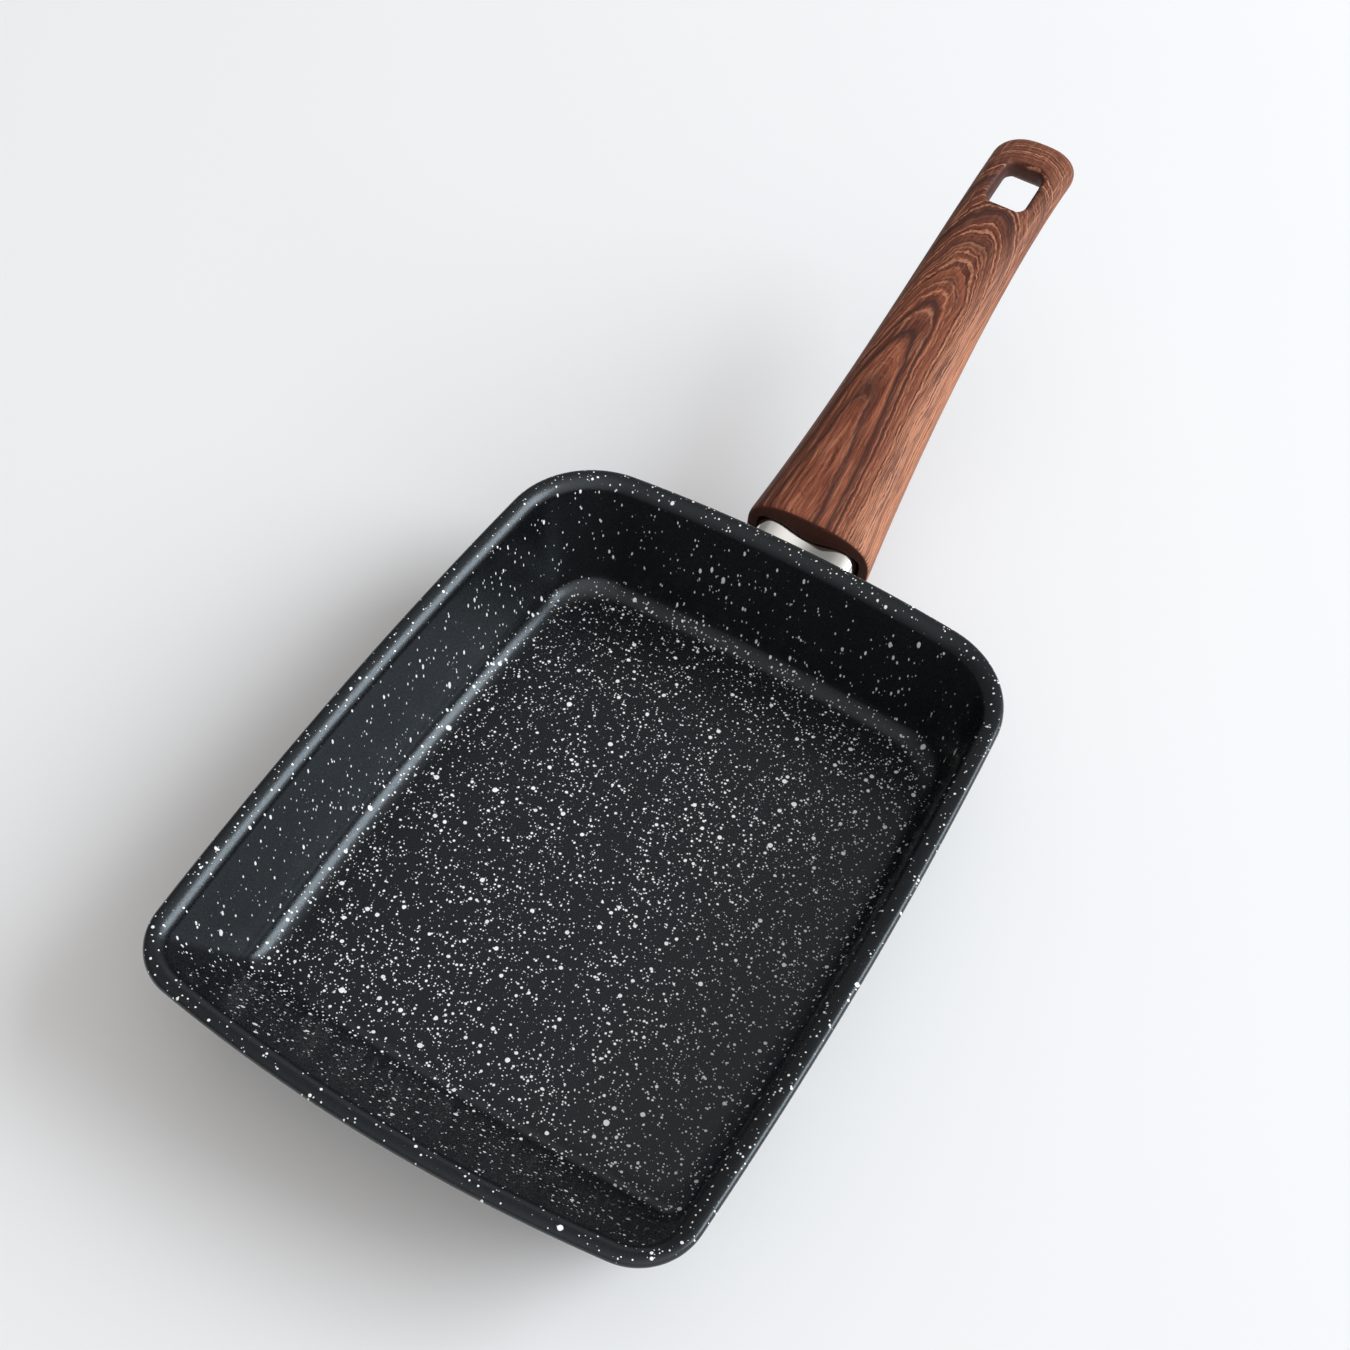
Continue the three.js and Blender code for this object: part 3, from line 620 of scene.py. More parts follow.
def wall_levels(draft, fillet):
    """Levels of one wall's inner face, as (inset, height, angle of the normal, on the lip)."""
    lip_radius = LIP_BEND + PAN_SHEET
    lip_centre = PAN_SHEET / 2 + LIP_FLAT
    wall_top = PAN_HEIGHT - lip_radius * (1 - math.sin(draft))
    wall_low = PAN_SHEET + fillet * (1 - math.sin(draft))
    slope = (wall_top - wall_low) * math.tan(draft)
    floor_edge = lip_centre + (lip_radius + fillet) * math.cos(draft) + slope
    low_inset = floor_edge - fillet * math.cos(draft)
    soft_top = PAN_HEIGHT - LIP_SOFT * (1 - math.sin(draft))
    soft_inset = low_inset - (soft_top - wall_low) * math.tan(draft)
    inner = [(floor_edge + FLOOR_MARGIN, PAN_SHEET, QUARTER, False)]
    for turn in steps(QUARTER, draft, FILLET_STEPS):
        z = PAN_SHEET + fillet * (1 - math.sin(turn))
        inner.append((floor_edge - fillet * math.cos(turn), z, turn, False))
    for share in steps(0, 1, WALL_STEPS)[1:-1]:
        inner.append((lerp(low_inset, soft_inset, share), lerp(wall_low, soft_top, share), draft, False))
    for turn in steps(draft, QUARTER, LIP_STEPS):
        z = PAN_HEIGHT - LIP_SOFT * (1 - math.sin(turn))
        inner.append((soft_inset - LIP_SOFT * (math.cos(draft) - math.cos(turn)), z, turn, True))
    return inner


SIDE_WALL = wall_levels(WALL_DRAFT, FLOOR_FILLET)
FRONT_WALL = wall_levels(FRONT_DRAFT, FRONT_FILLET)
FLOOR_LEVEL = SIDE_WALL[0]
WALL_TOP_INSET = next(level[0] for level in SIDE_WALL if level[3])
WALL_TOP_HEIGHT = next(level[1] for level in SIDE_WALL if level[3])


def bow_radius(half_chord, rise):
    return (half_chord ** 2 + rise ** 2) / (2 * rise)


SIDE_RADIUS = bow_radius(RIM_LENGTH / 2, SIDE_BOW)
SIDE_CENTRE = RIM_WIDTH / 2 - SIDE_RADIUS


def end_quarter(end_inset, end_z, side_inset, side_z, radius, corner):
    """Half of an end's arc and the corner that touches it and the long side."""
    centre = RIM_LENGTH / 2 - radius
    end_reach = radius - end_inset - corner
    side_reach = SIDE_RADIUS - side_inset - corner
    apart = math.hypot(centre, SIDE_CENTRE)
    along = (end_reach ** 2 - side_reach ** 2 + apart ** 2) / (2 * apart)
    across = math.sqrt(end_reach ** 2 - along ** 2)
    x = centre - (centre * along + SIDE_CENTRE * across) / apart
    y = (SIDE_CENTRE * along - centre * across) / apart
    end_angle = math.atan2(y, x - centre)
    side_angle = math.atan2(y - SIDE_CENTRE, x)
    reach = radius - end_inset
    points = [(centre + reach * math.cos(a), reach * math.sin(a), end_z)
              for a in steps(0, end_angle, END_STEPS)[:-1]]
    for share in steps(0, 1, CORNER_STEPS):
        angle = lerp(end_angle, side_angle, share)
        z = lerp(end_z, side_z, smoothstep(share, 0, 1))
        points.append((x + corner * math.cos(angle), y + corner * math.sin(angle), z))
    return points, side_angle


def pan_ring(side, front, shift_side=0, shift_front=0, drop_side=0, drop_front=0):
    """One ring of the shell; the shifts and drops move a level of the inner face to the outer one."""
    inset, z, _, on_lip = side
    share = 1 if on_lip else min((z - PAN_SHEET) / (WALL_TOP_HEIGHT - PAN_SHEET), 1)
    lip_inset = inset if on_lip else WALL_TOP_INSET
    quarters = []
    for end, bow, floor_bow, corner, floor_corner, shift, drop in (
        (side, BACK_BOW, BACK_FLOOR_BOW, BACK_CORNER, BACK_FLOOR_CORNER, shift_side, drop_side),
        (front, FRONT_BOW, FRONT_FLOOR_BOW, FRONT_CORNER, FRONT_FLOOR_CORNER, shift_front, drop_front),
    ):
        radius = bow_radius(RIM_WIDTH / 2, lerp(floor_bow, bow, share))
        bend = lerp(floor_corner, corner - lip_inset, share) + shift_side
        if side is FLOOR_LEVEL:
            bend -= FLOOR_MARGIN
        quarters.append(end_quarter(end[0] - shift, end[1] - drop, inset - shift_side, z - drop_side,
                                    radius, bend))
    (back, back_angle), (nose, nose_angle) = quarters
    reach = SIDE_RADIUS - inset + shift_side
    sides = [(reach * math.cos(a), SIDE_CENTRE + reach * math.sin(a), z - drop_side)
             for a in steps(back_angle, math.pi - nose_angle, SIDE_STEPS)[1:-1]]
    half = back + sides + [(-x, y, h) for x, y, h in reversed(nose)]
    return half + [(x, -y, h) for x, y, h in reversed(half[1:-1])]


def pan_shell():
    rings = [pan_ring(side, front) for side, front in zip(SIDE_WALL, FRONT_WALL)]
    half_sheet = PAN_SHEET / 2
    for turn in steps(0, math.pi, EDGE_STEPS)[1:-1]:
        level = (half_sheet * (1 - math.sin(turn)), PAN_HEIGHT - half_sheet * (1 - math.cos(turn)), 0, True)
        rings.append(pan_ring(level, level))
    for side, front in reversed(list(zip(SIDE_WALL, FRONT_WALL))):
        shifts = [PAN_SHEET * math.cos(level[2]) for level in (side, front)]
        drops = [PAN_SHEET * math.sin(level[2]) for level in (side, front)]
        rings.append(pan_ring(side, front, *shifts, *drops))
    return solid_mesh("pan_shell", *skin(rings))


# Bracket path, as in the solid: up the wall, round the bend and out along the web

HANDLE_FRONT = RIM_LENGTH / 2 + HANDLE_GAP
WEB_HEIGHT = PAN_HEIGHT - BRACKET_DROP
FOOT_WAY = np.array((math.sin(WALL_DRAFT), math.cos(WALL_DRAFT)))
FOOT_OUT = np.array((math.cos(WALL_DRAFT), -math.sin(WALL_DRAFT)))
WEB_WAY = np.array((math.cos(HANDLE_ANGLE), math.sin(HANDLE_ANGLE)))
WEB_POINT = np.array((HANDLE_FRONT, WEB_HEIGHT))


def cross(a, b):
    return a[0] * b[1] - a[1] * b[0]


def wall_point():
    """A point on the outside of the back wall, at the top of its fillet."""
    inset, z, turn, _ = SIDE_WALL[1 + FILLET_STEPS]
    x = RIM_LENGTH / 2 - inset + PAN_SHEET * math.cos(turn)
    return np.array((x, z - PAN_SHEET * math.sin(turn)))


FOOT_POINT = wall_point() + FOOT_OUT * (GAP + BRACKET_SHEET / 2)
BEND_POINT = FOOT_POINT + FOOT_WAY * cross(WEB_POINT - FOOT_POINT, WEB_WAY) / cross(FOOT_WAY, WEB_WAY)
BEND_TURN = QUARTER - WALL_DRAFT - HANDLE_ANGLE
BEND_TANGENT = BRACKET_BEND * math.tan(BEND_TURN / 2)
BEND_START = FOOT_LENGTH - BEND_TANGENT
BEND_END = BEND_START + BRACKET_BEND * BEND_TURN
MOUTH = BEND_END + float(np.linalg.norm(WEB_POINT - BEND_POINT)) - BEND_TANGENT
NECK_END = MOUTH + NECK_LENGTH
TONGUE_END = MOUTH + TONGUE_LENGTH


def path_at(distance):
    """Point and slope of the bracket's middle line, at a distance from the foot's lower end."""
    if distance > BEND_END:
        return BEND_POINT + WEB_WAY * (distance - BEND_END + BEND_TANGENT), HANDLE_ANGLE
    angle = QUARTER - WALL_DRAFT - max(distance - BEND_START, 0) / BRACKET_BEND
    point = BEND_POINT + FOOT_WAY * (min(distance, BEND_START) - FOOT_LENGTH) + FOOT_OUT * BRACKET_BEND
    return point + BRACKET_BEND * np.array((-math.sin(angle), math.cos(angle))), angle


def on_path(path, across, up):
    point, angle = path
    return (point[0] - up * math.sin(angle), across, point[1] + up * math.cos(angle))


def turned_at(seat, x, y, z):
    """A point given along a fastener's own axes: z runs along its axis."""
    (px, py, pz), turn = seat
    sine, cosine = math.sin(turn), math.cos(turn)
    return (px + x * cosine + z * sine, py + y, pz - x * sine + z * cosine)


def stud_seat(y):
    wall = BEND_POINT - FOOT_WAY * STUD_DROP - FOOT_OUT * (GAP + BRACKET_SHEET / 2)
    return (wall[0], y, wall[1]), QUARTER + WALL_DRAFT


def screw_seat():
    point, angle = path_at(MOUTH + SCREW_PLACE)
    return (point[0], 0, point[1]), -angle


STUD_SEATS = [stud_seat(STUD_SPACING / 2), stud_seat(-STUD_SPACING / 2)]
SCREW_SEAT_POINT = screw_seat()
WASHER_LOW = GAP + BRACKET_SHEET + GAP
NUT_LOW = WASHER_LOW + WASHER_THICKNESS + GAP
STUD_TOP = NUT_LOW + NUT_HEIGHT + STUD_PROUD


def round_ring(seat, radius, height, count=64):
    return [turned_at(seat, radius * math.cos(a), radius * math.sin(a), height)
            for a in steps(0, FULL_TURN, count)[:-1]]


def rod_mesh(seat, radius, low, high):
    return solid_mesh("rod", *skin([round_ring(seat, radius, low), round_ring(seat, radius, high)]))


# Bracket, whose section changes from the flanged channel to the flatter tongue over the neck

GROOVE_STEPS = 24
SHOULDER_STEPS = 12
FLANGE_STEPS = 3
SHEET_EDGE_STEPS = 6
SHEET_CORNER_STEPS = 8
BEND_STEPS = 18
WEB_STEPS = 4
NECK_STEPS = 12
# How far a cutter runs past the sheet on both sides
CUT_PAST = 3


def neck_share(distance):
    return smoothstep(distance, MOUTH, NECK_END)


def bracket_half(distance):
    return lerp(BRACKET_WIDTH, TONGUE_WIDTH, neck_share(distance)) / 2


def bracket_shoulder(distance):
    return lerp(BRACKET_SHOULDER, TONGUE_SHOULDER, neck_share(distance))


def bracket_flange(distance):
    channel = lerp(FOOT_FLANGE, BRACKET_FLANGE, smoothstep(distance, BEND_START, BEND_END))
    return lerp(channel, TONGUE_FLANGE, neck_share(distance))


def groove_at(distance, across):
    depth = GROOVE_DEPTH * smoothstep(distance, BEND_START, BEND_END) * (1 - neck_share(distance))
    return depth * (1 + math.cos(math.pi * min(abs(across) / (GROOVE_WIDTH / 2), 1))) / 2


def corner_inset(distance):
    from_end = min(distance, TONGUE_END - distance, SHEET_CORNER)
    return SHEET_CORNER - math.sqrt(SHEET_CORNER ** 2 - (SHEET_CORNER - from_end) ** 2)


def bracket_ring(distance):
    path = path_at(distance)
    half = bracket_half(distance) - BRACKET_SHEET / 2 - corner_inset(distance)
    shoulder = bracket_shoulder(distance)
    flat = half - shoulder
    right = [(across, -groove_at(distance, across), 0) for across in steps(0, flat, GROOVE_STEPS)]
    for lean in steps(0, QUARTER, SHOULDER_STEPS)[1:]:
        right.append((flat + shoulder * math.sin(lean), -shoulder * (1 - math.cos(lean)), lean))
    low = -shoulder - bracket_flange(distance)
    for share in steps(0, 1, FLANGE_STEPS)[1:]:
        right.append((half, lerp(-shoulder, low, share), QUARTER))
    sheet = [(-a, u, -lean) for a, u, lean in reversed(right[1:])] + right
    radius = BRACKET_SHEET / 2

    def face(side):
        return [on_path(path, a + side * math.sin(lean), u + side * math.cos(lean)) for a, u, lean in sheet]

    def edge(across, way):
        return [on_path(path, across + way * radius * math.cos(t), low - radius / 2 * math.sin(t))
                for t in steps(0, math.pi, SHEET_EDGE_STEPS)[1:-1]]

    return face(radius) + edge(half, 1) + list(reversed(face(-radius))) + edge(-half, -1)


def bracket_mesh():
    corner = [SHEET_CORNER * (1 - math.cos(t)) for t in steps(0, QUARTER, SHEET_CORNER_STEPS)]
    distances = corner + steps(BEND_START, BEND_END, BEND_STEPS) + steps(BEND_END, MOUTH, WEB_STEPS)[1:-1]
    distances += steps(MOUTH, NECK_END, NECK_STEPS) + [TONGUE_END - d for d in reversed(corner)]
    blank = solid_mesh("bracket", *skin([bracket_ring(d) for d in distances]))
    stud_hole = STUD_DIAMETER / 2 + GAP
    holes = [rod_mesh(seat, stud_hole, -CUT_PAST, WASHER_LOW + CUT_PAST) for seat in STUD_SEATS]
    holes.append(rod_mesh(SCREW_SEAT_POINT, SCREW_DIAMETER / 2 + PLAY, -CUT_PAST, CUT_PAST))
    return carved(blank, holes)


# Handle sections

CAVITY_TOP = BRACKET_SHEET / 2 + TONGUE_CLEARANCE


def cavity_bottom(distance):
    depth = bracket_shoulder(distance) + bracket_flange(distance) + BRACKET_SHEET / 4
    return depth + lerp(MOUTH_ROOM, TONGUE_CLEARANCE, neck_share(distance))


FRONT_CROWN = WEB_HEIGHT + CAVITY_TOP + HANDLE_ROOF
FRONT_THICKNESS = CAVITY_TOP + HANDLE_ROOF + cavity_bottom(MOUTH) + HANDLE_FLOOR
FRONT_WIDTH = BRACKET_WIDTH + 2 * (MOUTH_CLEARANCE + HANDLE_SIDE)
FRONT_LEVEL = FRONT_CROWN - CROWN_SHARE * FRONT_THICKNESS
TAIL_CROWN = FRONT_CROWN + HANDLE_RISE
FRONT_PULL = FRONT_CROWN + math.tan(HANDLE_ANGLE) * HANDLE_LENGTH / 3
CROWN_CURVE = (FRONT_CROWN, FRONT_PULL, TAIL_CROWN, TAIL_CROWN)
WIDTH_CURVE = (FRONT_WIDTH, NECK_WIDTH, WAIST_WIDTH, TAIL_WIDTH)
HOLE_ALONG = HANDLE_LENGTH - HOLE_TO_TAIL - HOLE_LENGTH / 2
SEAT_HEIGHT = -cavity_bottom(NECK_END) - SCREW_SEAT

SECTION_POINTS = 112
FRONT_EDGE_STEPS = 6
GRIP_STEPS = 130
TAIL_STEPS = 24
CAVITY_POINTS = 4000
HOLE_RIM_STEPS = 8
HOLE_CORNER_STEPS = 10
# How far the cavity's and the hole's cutters run past the handle
CAVITY_PAST = 3
HOLE_PAST = 4


def bezier(curve, share):
    rest = 1 - share
    a, b, c, d = curve
    return a * rest ** 3 + 3 * b * rest ** 2 * share + 3 * c * rest * share ** 2 + d * share ** 3


def thickness_at(share):
    return FRONT_THICKNESS + (TAIL_THICKNESS - FRONT_THICKNESS) * share * share * (3 - 2 * share)


def middle_at(share):
    return bezier(CROWN_CURVE, share) - thickness_at(share) / 2


def handle_ring(along, inset=0, width_scale=1, height_scale=1):
    share = along / HANDLE_LENGTH
    half = bezier(WIDTH_CURVE, share) / 2 * width_scale - inset
    above = CROWN_SHARE * thickness_at(share)
    level = bezier(CROWN_CURVE, share) - above
    upper = above * height_scale - inset
    lower = (thickness_at(share) - above) * height_scale - inset
    ring = []
    for angle in steps(-QUARTER, 3 * QUARTER, SECTION_POINTS)[:-1]:
        rise = signed_power(math.sin(angle), 2 / SECTION_POWER)
        y = half * signed_power(math.cos(angle), 2 / SECTION_POWER)
        ring.append((HANDLE_FRONT + along, y, level + rise * (upper if rise > 0 else lower)))
    return ring


def handle_rings():
    tail_start = HANDLE_LENGTH - TAIL_ROUND
    rings = [handle_ring(FRONT_EDGE * (1 - math.cos(t)), FRONT_EDGE * (1 - math.sin(t)))
             for t in steps(0, QUARTER, FRONT_EDGE_STEPS)]
    rings += [handle_ring(along) for along in steps(FRONT_EDGE, tail_start, GRIP_STEPS)[1:]]
    for turn in steps(0, QUARTER, TAIL_STEPS)[1:-1]:
        share = math.sin(turn)
        rings.append(handle_ring(tail_start + TAIL_ROUND * share, 0,
                                 (1 - share ** TAIL_POWER) ** (1 / TAIL_POWER),
                                 math.sqrt(1 - share ** TAIL_EDGE_POWER)))
    return rings


def evenly(path, count):
    """count points at equal distances along a closed path."""
    path = np.array(path)
    way = np.append(0, np.cumsum(np.hypot(*np.diff(path, axis=0).T)))
    places = np.linspace(0, way[-1], count + 1)[:-1]
    return np.stack([np.interp(places, way, path[:, 0]), np.interp(places, way, path[:, 1])], 1)


def cavity_rings():
    """Sections of the room for the bracket: a mouth shaped like the handle, then a slot for the tongue."""
    rings = []
    distances = [MOUTH - CAVITY_PAST] + steps(MOUTH, NECK_END, NECK_STEPS) + [TONGUE_END + TONGUE_CLEARANCE]
    for distance in distances:
        share = neck_share(distance)
        half = bracket_half(distance) + lerp(MOUTH_CLEARANCE, TONGUE_CLEARANCE, share)
        bottom = cavity_bottom(distance)
        level = lerp(FRONT_LEVEL - WEB_HEIGHT, (CAVITY_TOP - bottom) / 2, share)
        path = []
        for angle in steps(-QUARTER, 3 * QUARTER, CAVITY_POINTS):
            upper = math.sin(angle) > 0
            power = MOUTH_POWER if upper else lerp(SECTION_POWER, SLOT_POWER, share)
            across = half * signed_power(math.cos(angle), 2 / power)
            rise = signed_power(math.sin(angle), 2 / power)
            if upper:
                up = rise * (CAVITY_TOP - level) - groove_at(distance, across)
            else:
                up = rise * (bottom + level)
            path.append((across, level + up))
        rings.append([on_path(path_at(distance), *point) for point in evenly(path, SECTION_POINTS)])
    return rings


def hole_rings():
    """Sections of the hanging hole, square to the handle's middle line and wider at both rims."""
    share = HOLE_ALONG / HANDLE_LENGTH
    reach = HOLE_LENGTH / 2 / HANDLE_LENGTH
    slope = math.atan2(middle_at(share + reach) - middle_at(share - reach), HOLE_LENGTH)
    surface = thickness_at(share) / 2
    middle_x, middle_z = HANDLE_FRONT + HOLE_ALONG, middle_at(share)
    rim = [(surface - HOLE_EDGE * (1 - math.sin(t)), HOLE_EDGE * (1 - math.cos(t)))
           for t in steps(0, QUARTER, HOLE_RIM_STEPS)]
    upper = rim + [(surface + HOLE_PAST, HOLE_EDGE)]
    levels = [(-height, grow) for height, grow in reversed(upper)] + upper
    x0, y0 = HOLE_LENGTH / 2 - HOLE_CORNER, HOLE_WIDTH / 2 - HOLE_CORNER
    rings = []
    for height, grow in levels:
        corner = HOLE_CORNER + grow
        ring = []
        for sx, sy, start in ((1, 1, 0), (-1, 1, 1), (-1, -1, 2), (1, -1, 3)):
            for turn in steps(start * QUARTER, (start + 1) * QUARTER, HOLE_CORNER_STEPS):
                x, y = sx * x0 + corner * math.cos(turn), sy * y0 + corner * math.sin(turn)
                ring.append((middle_x + x * math.cos(slope) - height * math.sin(slope), y,
                             middle_z + x * math.sin(slope) + height * math.cos(slope)))
        rings.append(ring)
    return rings


# Handle: cut, then laid over with an even mesh whose edges are worn soft, and drawn back on to the loft

MESH_SIZE = 0.5
EDGE_WEAR = 6
WEAR_STRENGTH = 0.5
HEAD_BORE = 40
# A point is drawn back where it lies this near to the loft and faces as the loft does, away from both ends
PULL_DEPTH = 0.7
PULL_FACING = 0.95
PULL_FACING_FADE = 0.035
PULL_END_FACING = 0.7
PULL_FRONT = 1
PULL_FRONT_FADE = 1.5
PULL_TAIL = 2.5
PULL_TAIL_FADE = 3
# Limits that keep the divisions below from going out of hand
TAIL_LIMIT = 0.98
LEAST_FILL = 0.01
LEAST_PULL_FILL = 0.5
TINY = 1e-9
# The printed film ends at this depth below the loft
FILM_DEPTH = 1.3
FILM_FADE = 0.6


def carved_handle():
    seat = SCREW_SEAT_POINT
    cutters = [
        solid_mesh("cavity", *skin(cavity_rings())),
        solid_mesh("hole", *skin(hole_rings())),
        rod_mesh(seat, SCREW_DIAMETER / 2 + PLAY, SEAT_HEIGHT - GAP, 0),
        rod_mesh(seat, HEAD_DIAMETER / 2 + PLAY, SEAT_HEIGHT - HEAD_BORE, SEAT_HEIGHT),
        rod_mesh(seat, INSERT_DIAMETER / 2 + GAP, 0, CAVITY_TOP + INSERT_HEIGHT + GAP),
    ]
    return carved(solid_mesh("handle", *skin(handle_rings())), cutters, (
        ("REMESH", {"mode": "VOXEL", "voxel_size": MESH_SIZE * MM}),
        ("SMOOTH", {"factor": WEAR_STRENGTH, "iterations": EDGE_WEAR}),
    ))


def handle_mesh():
    mesh = carved_handle()
    points = np.empty(3 * len(mesh.vertices))
    mesh.vertices.foreach_get("co", points)
    points = points.reshape(-1, 3) / MM
    normals = np.empty(3 * len(mesh.vertices))
    mesh.vertex_normals.foreach_get("vector", normals)
    normals = normals.reshape(-1, 3)

    along = points[:, 0] - HANDLE_FRONT
    share = np.clip(along / HANDLE_LENGTH, 0, 1)
    past = np.clip((along - HANDLE_LENGTH + TAIL_ROUND) / TAIL_ROUND, 0, TAIL_LIMIT)
    above = CROWN_SHARE * thickness_at(share)
    below = thickness_at(share) - above
    y = points[:, 1]
    rise = points[:, 2] - bezier(CROWN_CURVE, share) + above
    full_half = bezier(WIDTH_CURVE, share) / 2
    full_height = np.where(rise > 0, above, below)
    half = full_half * (1 - past ** TAIL_POWER) ** (1 / TAIL_POWER)
    height = full_height * np.sqrt(1 - past ** TAIL_EDGE_POWER)
    fill = (np.abs(y) / half) ** SECTION_POWER + (np.abs(rise) / height) ** SECTION_POWER
    fill = fill ** (1 / SECTION_POWER)
    reach = np.hypot(y, rise)
    depth = reach / np.maximum(fill, LEAST_FILL) - reach

    slope_y = np.sign(y) * np.abs(y / half) ** (SECTION_POWER - 1) / half
    slope_z = np.sign(rise) * np.abs(rise / height) ** (SECTION_POWER - 1) / height
    facing = normals[:, 1] * slope_y + normals[:, 2] * slope_z
    facing /= np.hypot(normals[:, 1], normals[:, 2]) * np.hypot(slope_y, slope_z) + TINY
    pull = np.clip((facing - PULL_FACING) / PULL_FACING_FADE, 0, 1)
    pull *= (np.abs(depth) < PULL_DEPTH) & (np.abs(normals[:, 0]) < PULL_END_FACING)
    pull *= np.clip((along - PULL_FRONT) / PULL_FRONT_FADE, 0, 1)
    pull *= np.clip((HANDLE_LENGTH - PULL_TAIL - along) / PULL_TAIL_FADE, 0, 1)
    grow = 1 + pull * (1 / np.maximum(fill, LEAST_PULL_FILL) - 1)
    points[:, 1] = y * grow
    points[:, 2] += rise * (grow - 1)
    mesh.vertices.foreach_set("co", (points * MM).ravel())

    turn = np.arctan2(y / full_half, rise / full_height)
    grain = mesh.attributes.new("grain", "FLOAT_VECTOR", "POINT")
    grain.data.foreach_set("vector", np.stack([along, -turn * GRAIN_WRAP, np.zeros_like(along)], 1).ravel())
    film = mesh.attributes.new("film", "FLOAT", "POINT")
    film.data.foreach_set("value", np.clip((FILM_DEPTH - depth) / FILM_FADE, 0, 1))
    return mesh


# Fasteners

WASHER_EDGE_STEPS = 4
NUT_POINTS = 72
NUT_CONE_STEPS = 6
# Angle that one flat of a nut takes up
NUT_FLAT_TURN = math.pi / 3
STUD_POINTS = 48
STUD_RINGS_PER_TURN = 10
STUD_FOOT = 0.4
# Thread: its depth as a share of the pitch, how far before the washer's underside it starts and how far
# behind it has its full depth, how wide its root is and how steep its flanks are
THREAD_DEPTH = 0.54
THREAD_START = 0.6
THREAD_FULL = 0.4
THREAD_FLAT = 1.25
THREAD_FLANK = 1.5
# Width of the recess at its bottom, and of the head's flat, as shares
RECESS_TAPER = 0.7
HEAD_FLAT = 0.4
HEAD_STEPS = 8
LOCK_STEPS = 60


def washer_mesh(seat):
    inner, outer = STUD_DIAMETER / 2 + GAP, WASHER_DIAMETER / 2
    low, high = WASHER_LOW, WASHER_LOW + WASHER_THICKNESS
    turns = steps(0, QUARTER, WASHER_EDGE_STEPS)
    profile = [(inner, low), (inner, high)]
    profile += [(outer - WASHER_EDGE * (1 - math.sin(t)), high - WASHER_EDGE * (1 - math.cos(t)))
                for t in turns]
    profile += [(outer - WASHER_EDGE * (1 - math.cos(t)), low + WASHER_EDGE * (1 - math.sin(t)))
                for t in turns]
    return solid_mesh("washer", *closed_skin([round_ring(seat, r, h) for r, h in profile]))


def nut_mesh(seat):
    """A hexagon whose corners are turned off to a cone at both ends."""
    bore, flat = STUD_DIAMETER / 2 + GAP, NUT_FLATS / 2
    corner = flat / math.cos(NUT_FLAT_TURN / 2)
    cone = (corner - flat) * math.tan(NUT_FLAT_TURN / 2)
    low, high = NUT_LOW, NUT_LOW + NUT_HEIGHT
    outer = [(low + cone * share, lerp(flat, corner, share)) for share in steps(0, 1, NUT_CONE_STEPS)]
    outer += [(high - cone * share, lerp(flat, corner, share)) for share in steps(1, 0, NUT_CONE_STEPS)]
    inner = ((bore, high - NUT_EASE), (bore, low + NUT_EASE), (bore + NUT_EASE, low))
    rings = [round_ring(seat, radius, height, NUT_POINTS) for radius, height in inner]
    for height, reach in outer:
        ring = []
        for angle in steps(0, FULL_TURN, NUT_POINTS)[:-1]:
            wall = flat / math.cos(angle % NUT_FLAT_TURN - NUT_FLAT_TURN / 2)
            radius = min(wall, reach)
            ring.append(turned_at(seat, radius * math.cos(angle), radius * math.sin(angle), height))
        rings.append(ring)
    rings.append(round_ring(seat, bore + NUT_EASE, high, NUT_POINTS))
    return solid_mesh("nut", *closed_skin(rings))


def stud_mesh(seat):
    """A threaded rod: a plain foot through the bracket, then a helical groove up to a chamfered tip."""
    radius, groove = STUD_DIAMETER / 2, THREAD_DEPTH * STUD_PITCH
    rows = math.ceil((STUD_TOP - GAP - STUD_FOOT) / STUD_PITCH * STUD_RINGS_PER_TURN)
    rings = []
    for height in [GAP] + steps(GAP + STUD_FOOT, STUD_TOP, rows):
        started = smoothstep(height, WASHER_LOW - THREAD_START, WASHER_LOW + THREAD_FULL)
        tip = radius - max(height - STUD_TOP + STUD_CHAMFER, 0)
        ring = []
        for i in range(STUD_POINTS):
            angle = FULL_TURN * i / STUD_POINTS
            phase = (height / STUD_PITCH - i / STUD_POINTS) % 1
            depth = min(max(THREAD_FLAT - abs(2 * phase - 1) * THREAD_FLANK, 0), 1) * groove * started
            reach = min(radius - depth, tip)
            ring.append(turned_at(seat, reach * math.cos(angle), reach * math.sin(angle), height))
        rings.append(ring)
    return solid_mesh("stud", *skin(rings))


def cross_bar(seat, head_low, turn):
    """A bar that cuts one arm pair of the head's cross recess, narrower at its bottom."""
    rings = []
    for level, share in ((head_low - RECESS_DEPTH, 1), (head_low + RECESS_DEPTH, RECESS_TAPER)):
        x, y = RECESS_LENGTH / 2 * share, RECESS_WIDTH / 2 * share
        corners = ((x, y), (-x, y), (-x, -y), (x, -y))
        rings.append([turned_at(seat, a * math.cos(turn) - b * math.sin(turn),
                                a * math.sin(turn) + b * math.cos(turn), level) for a, b in corners])
    return solid_mesh("bar", *skin(rings))


LOCK_LOW = SEAT_HEIGHT - GAP - LOCK_THICKNESS


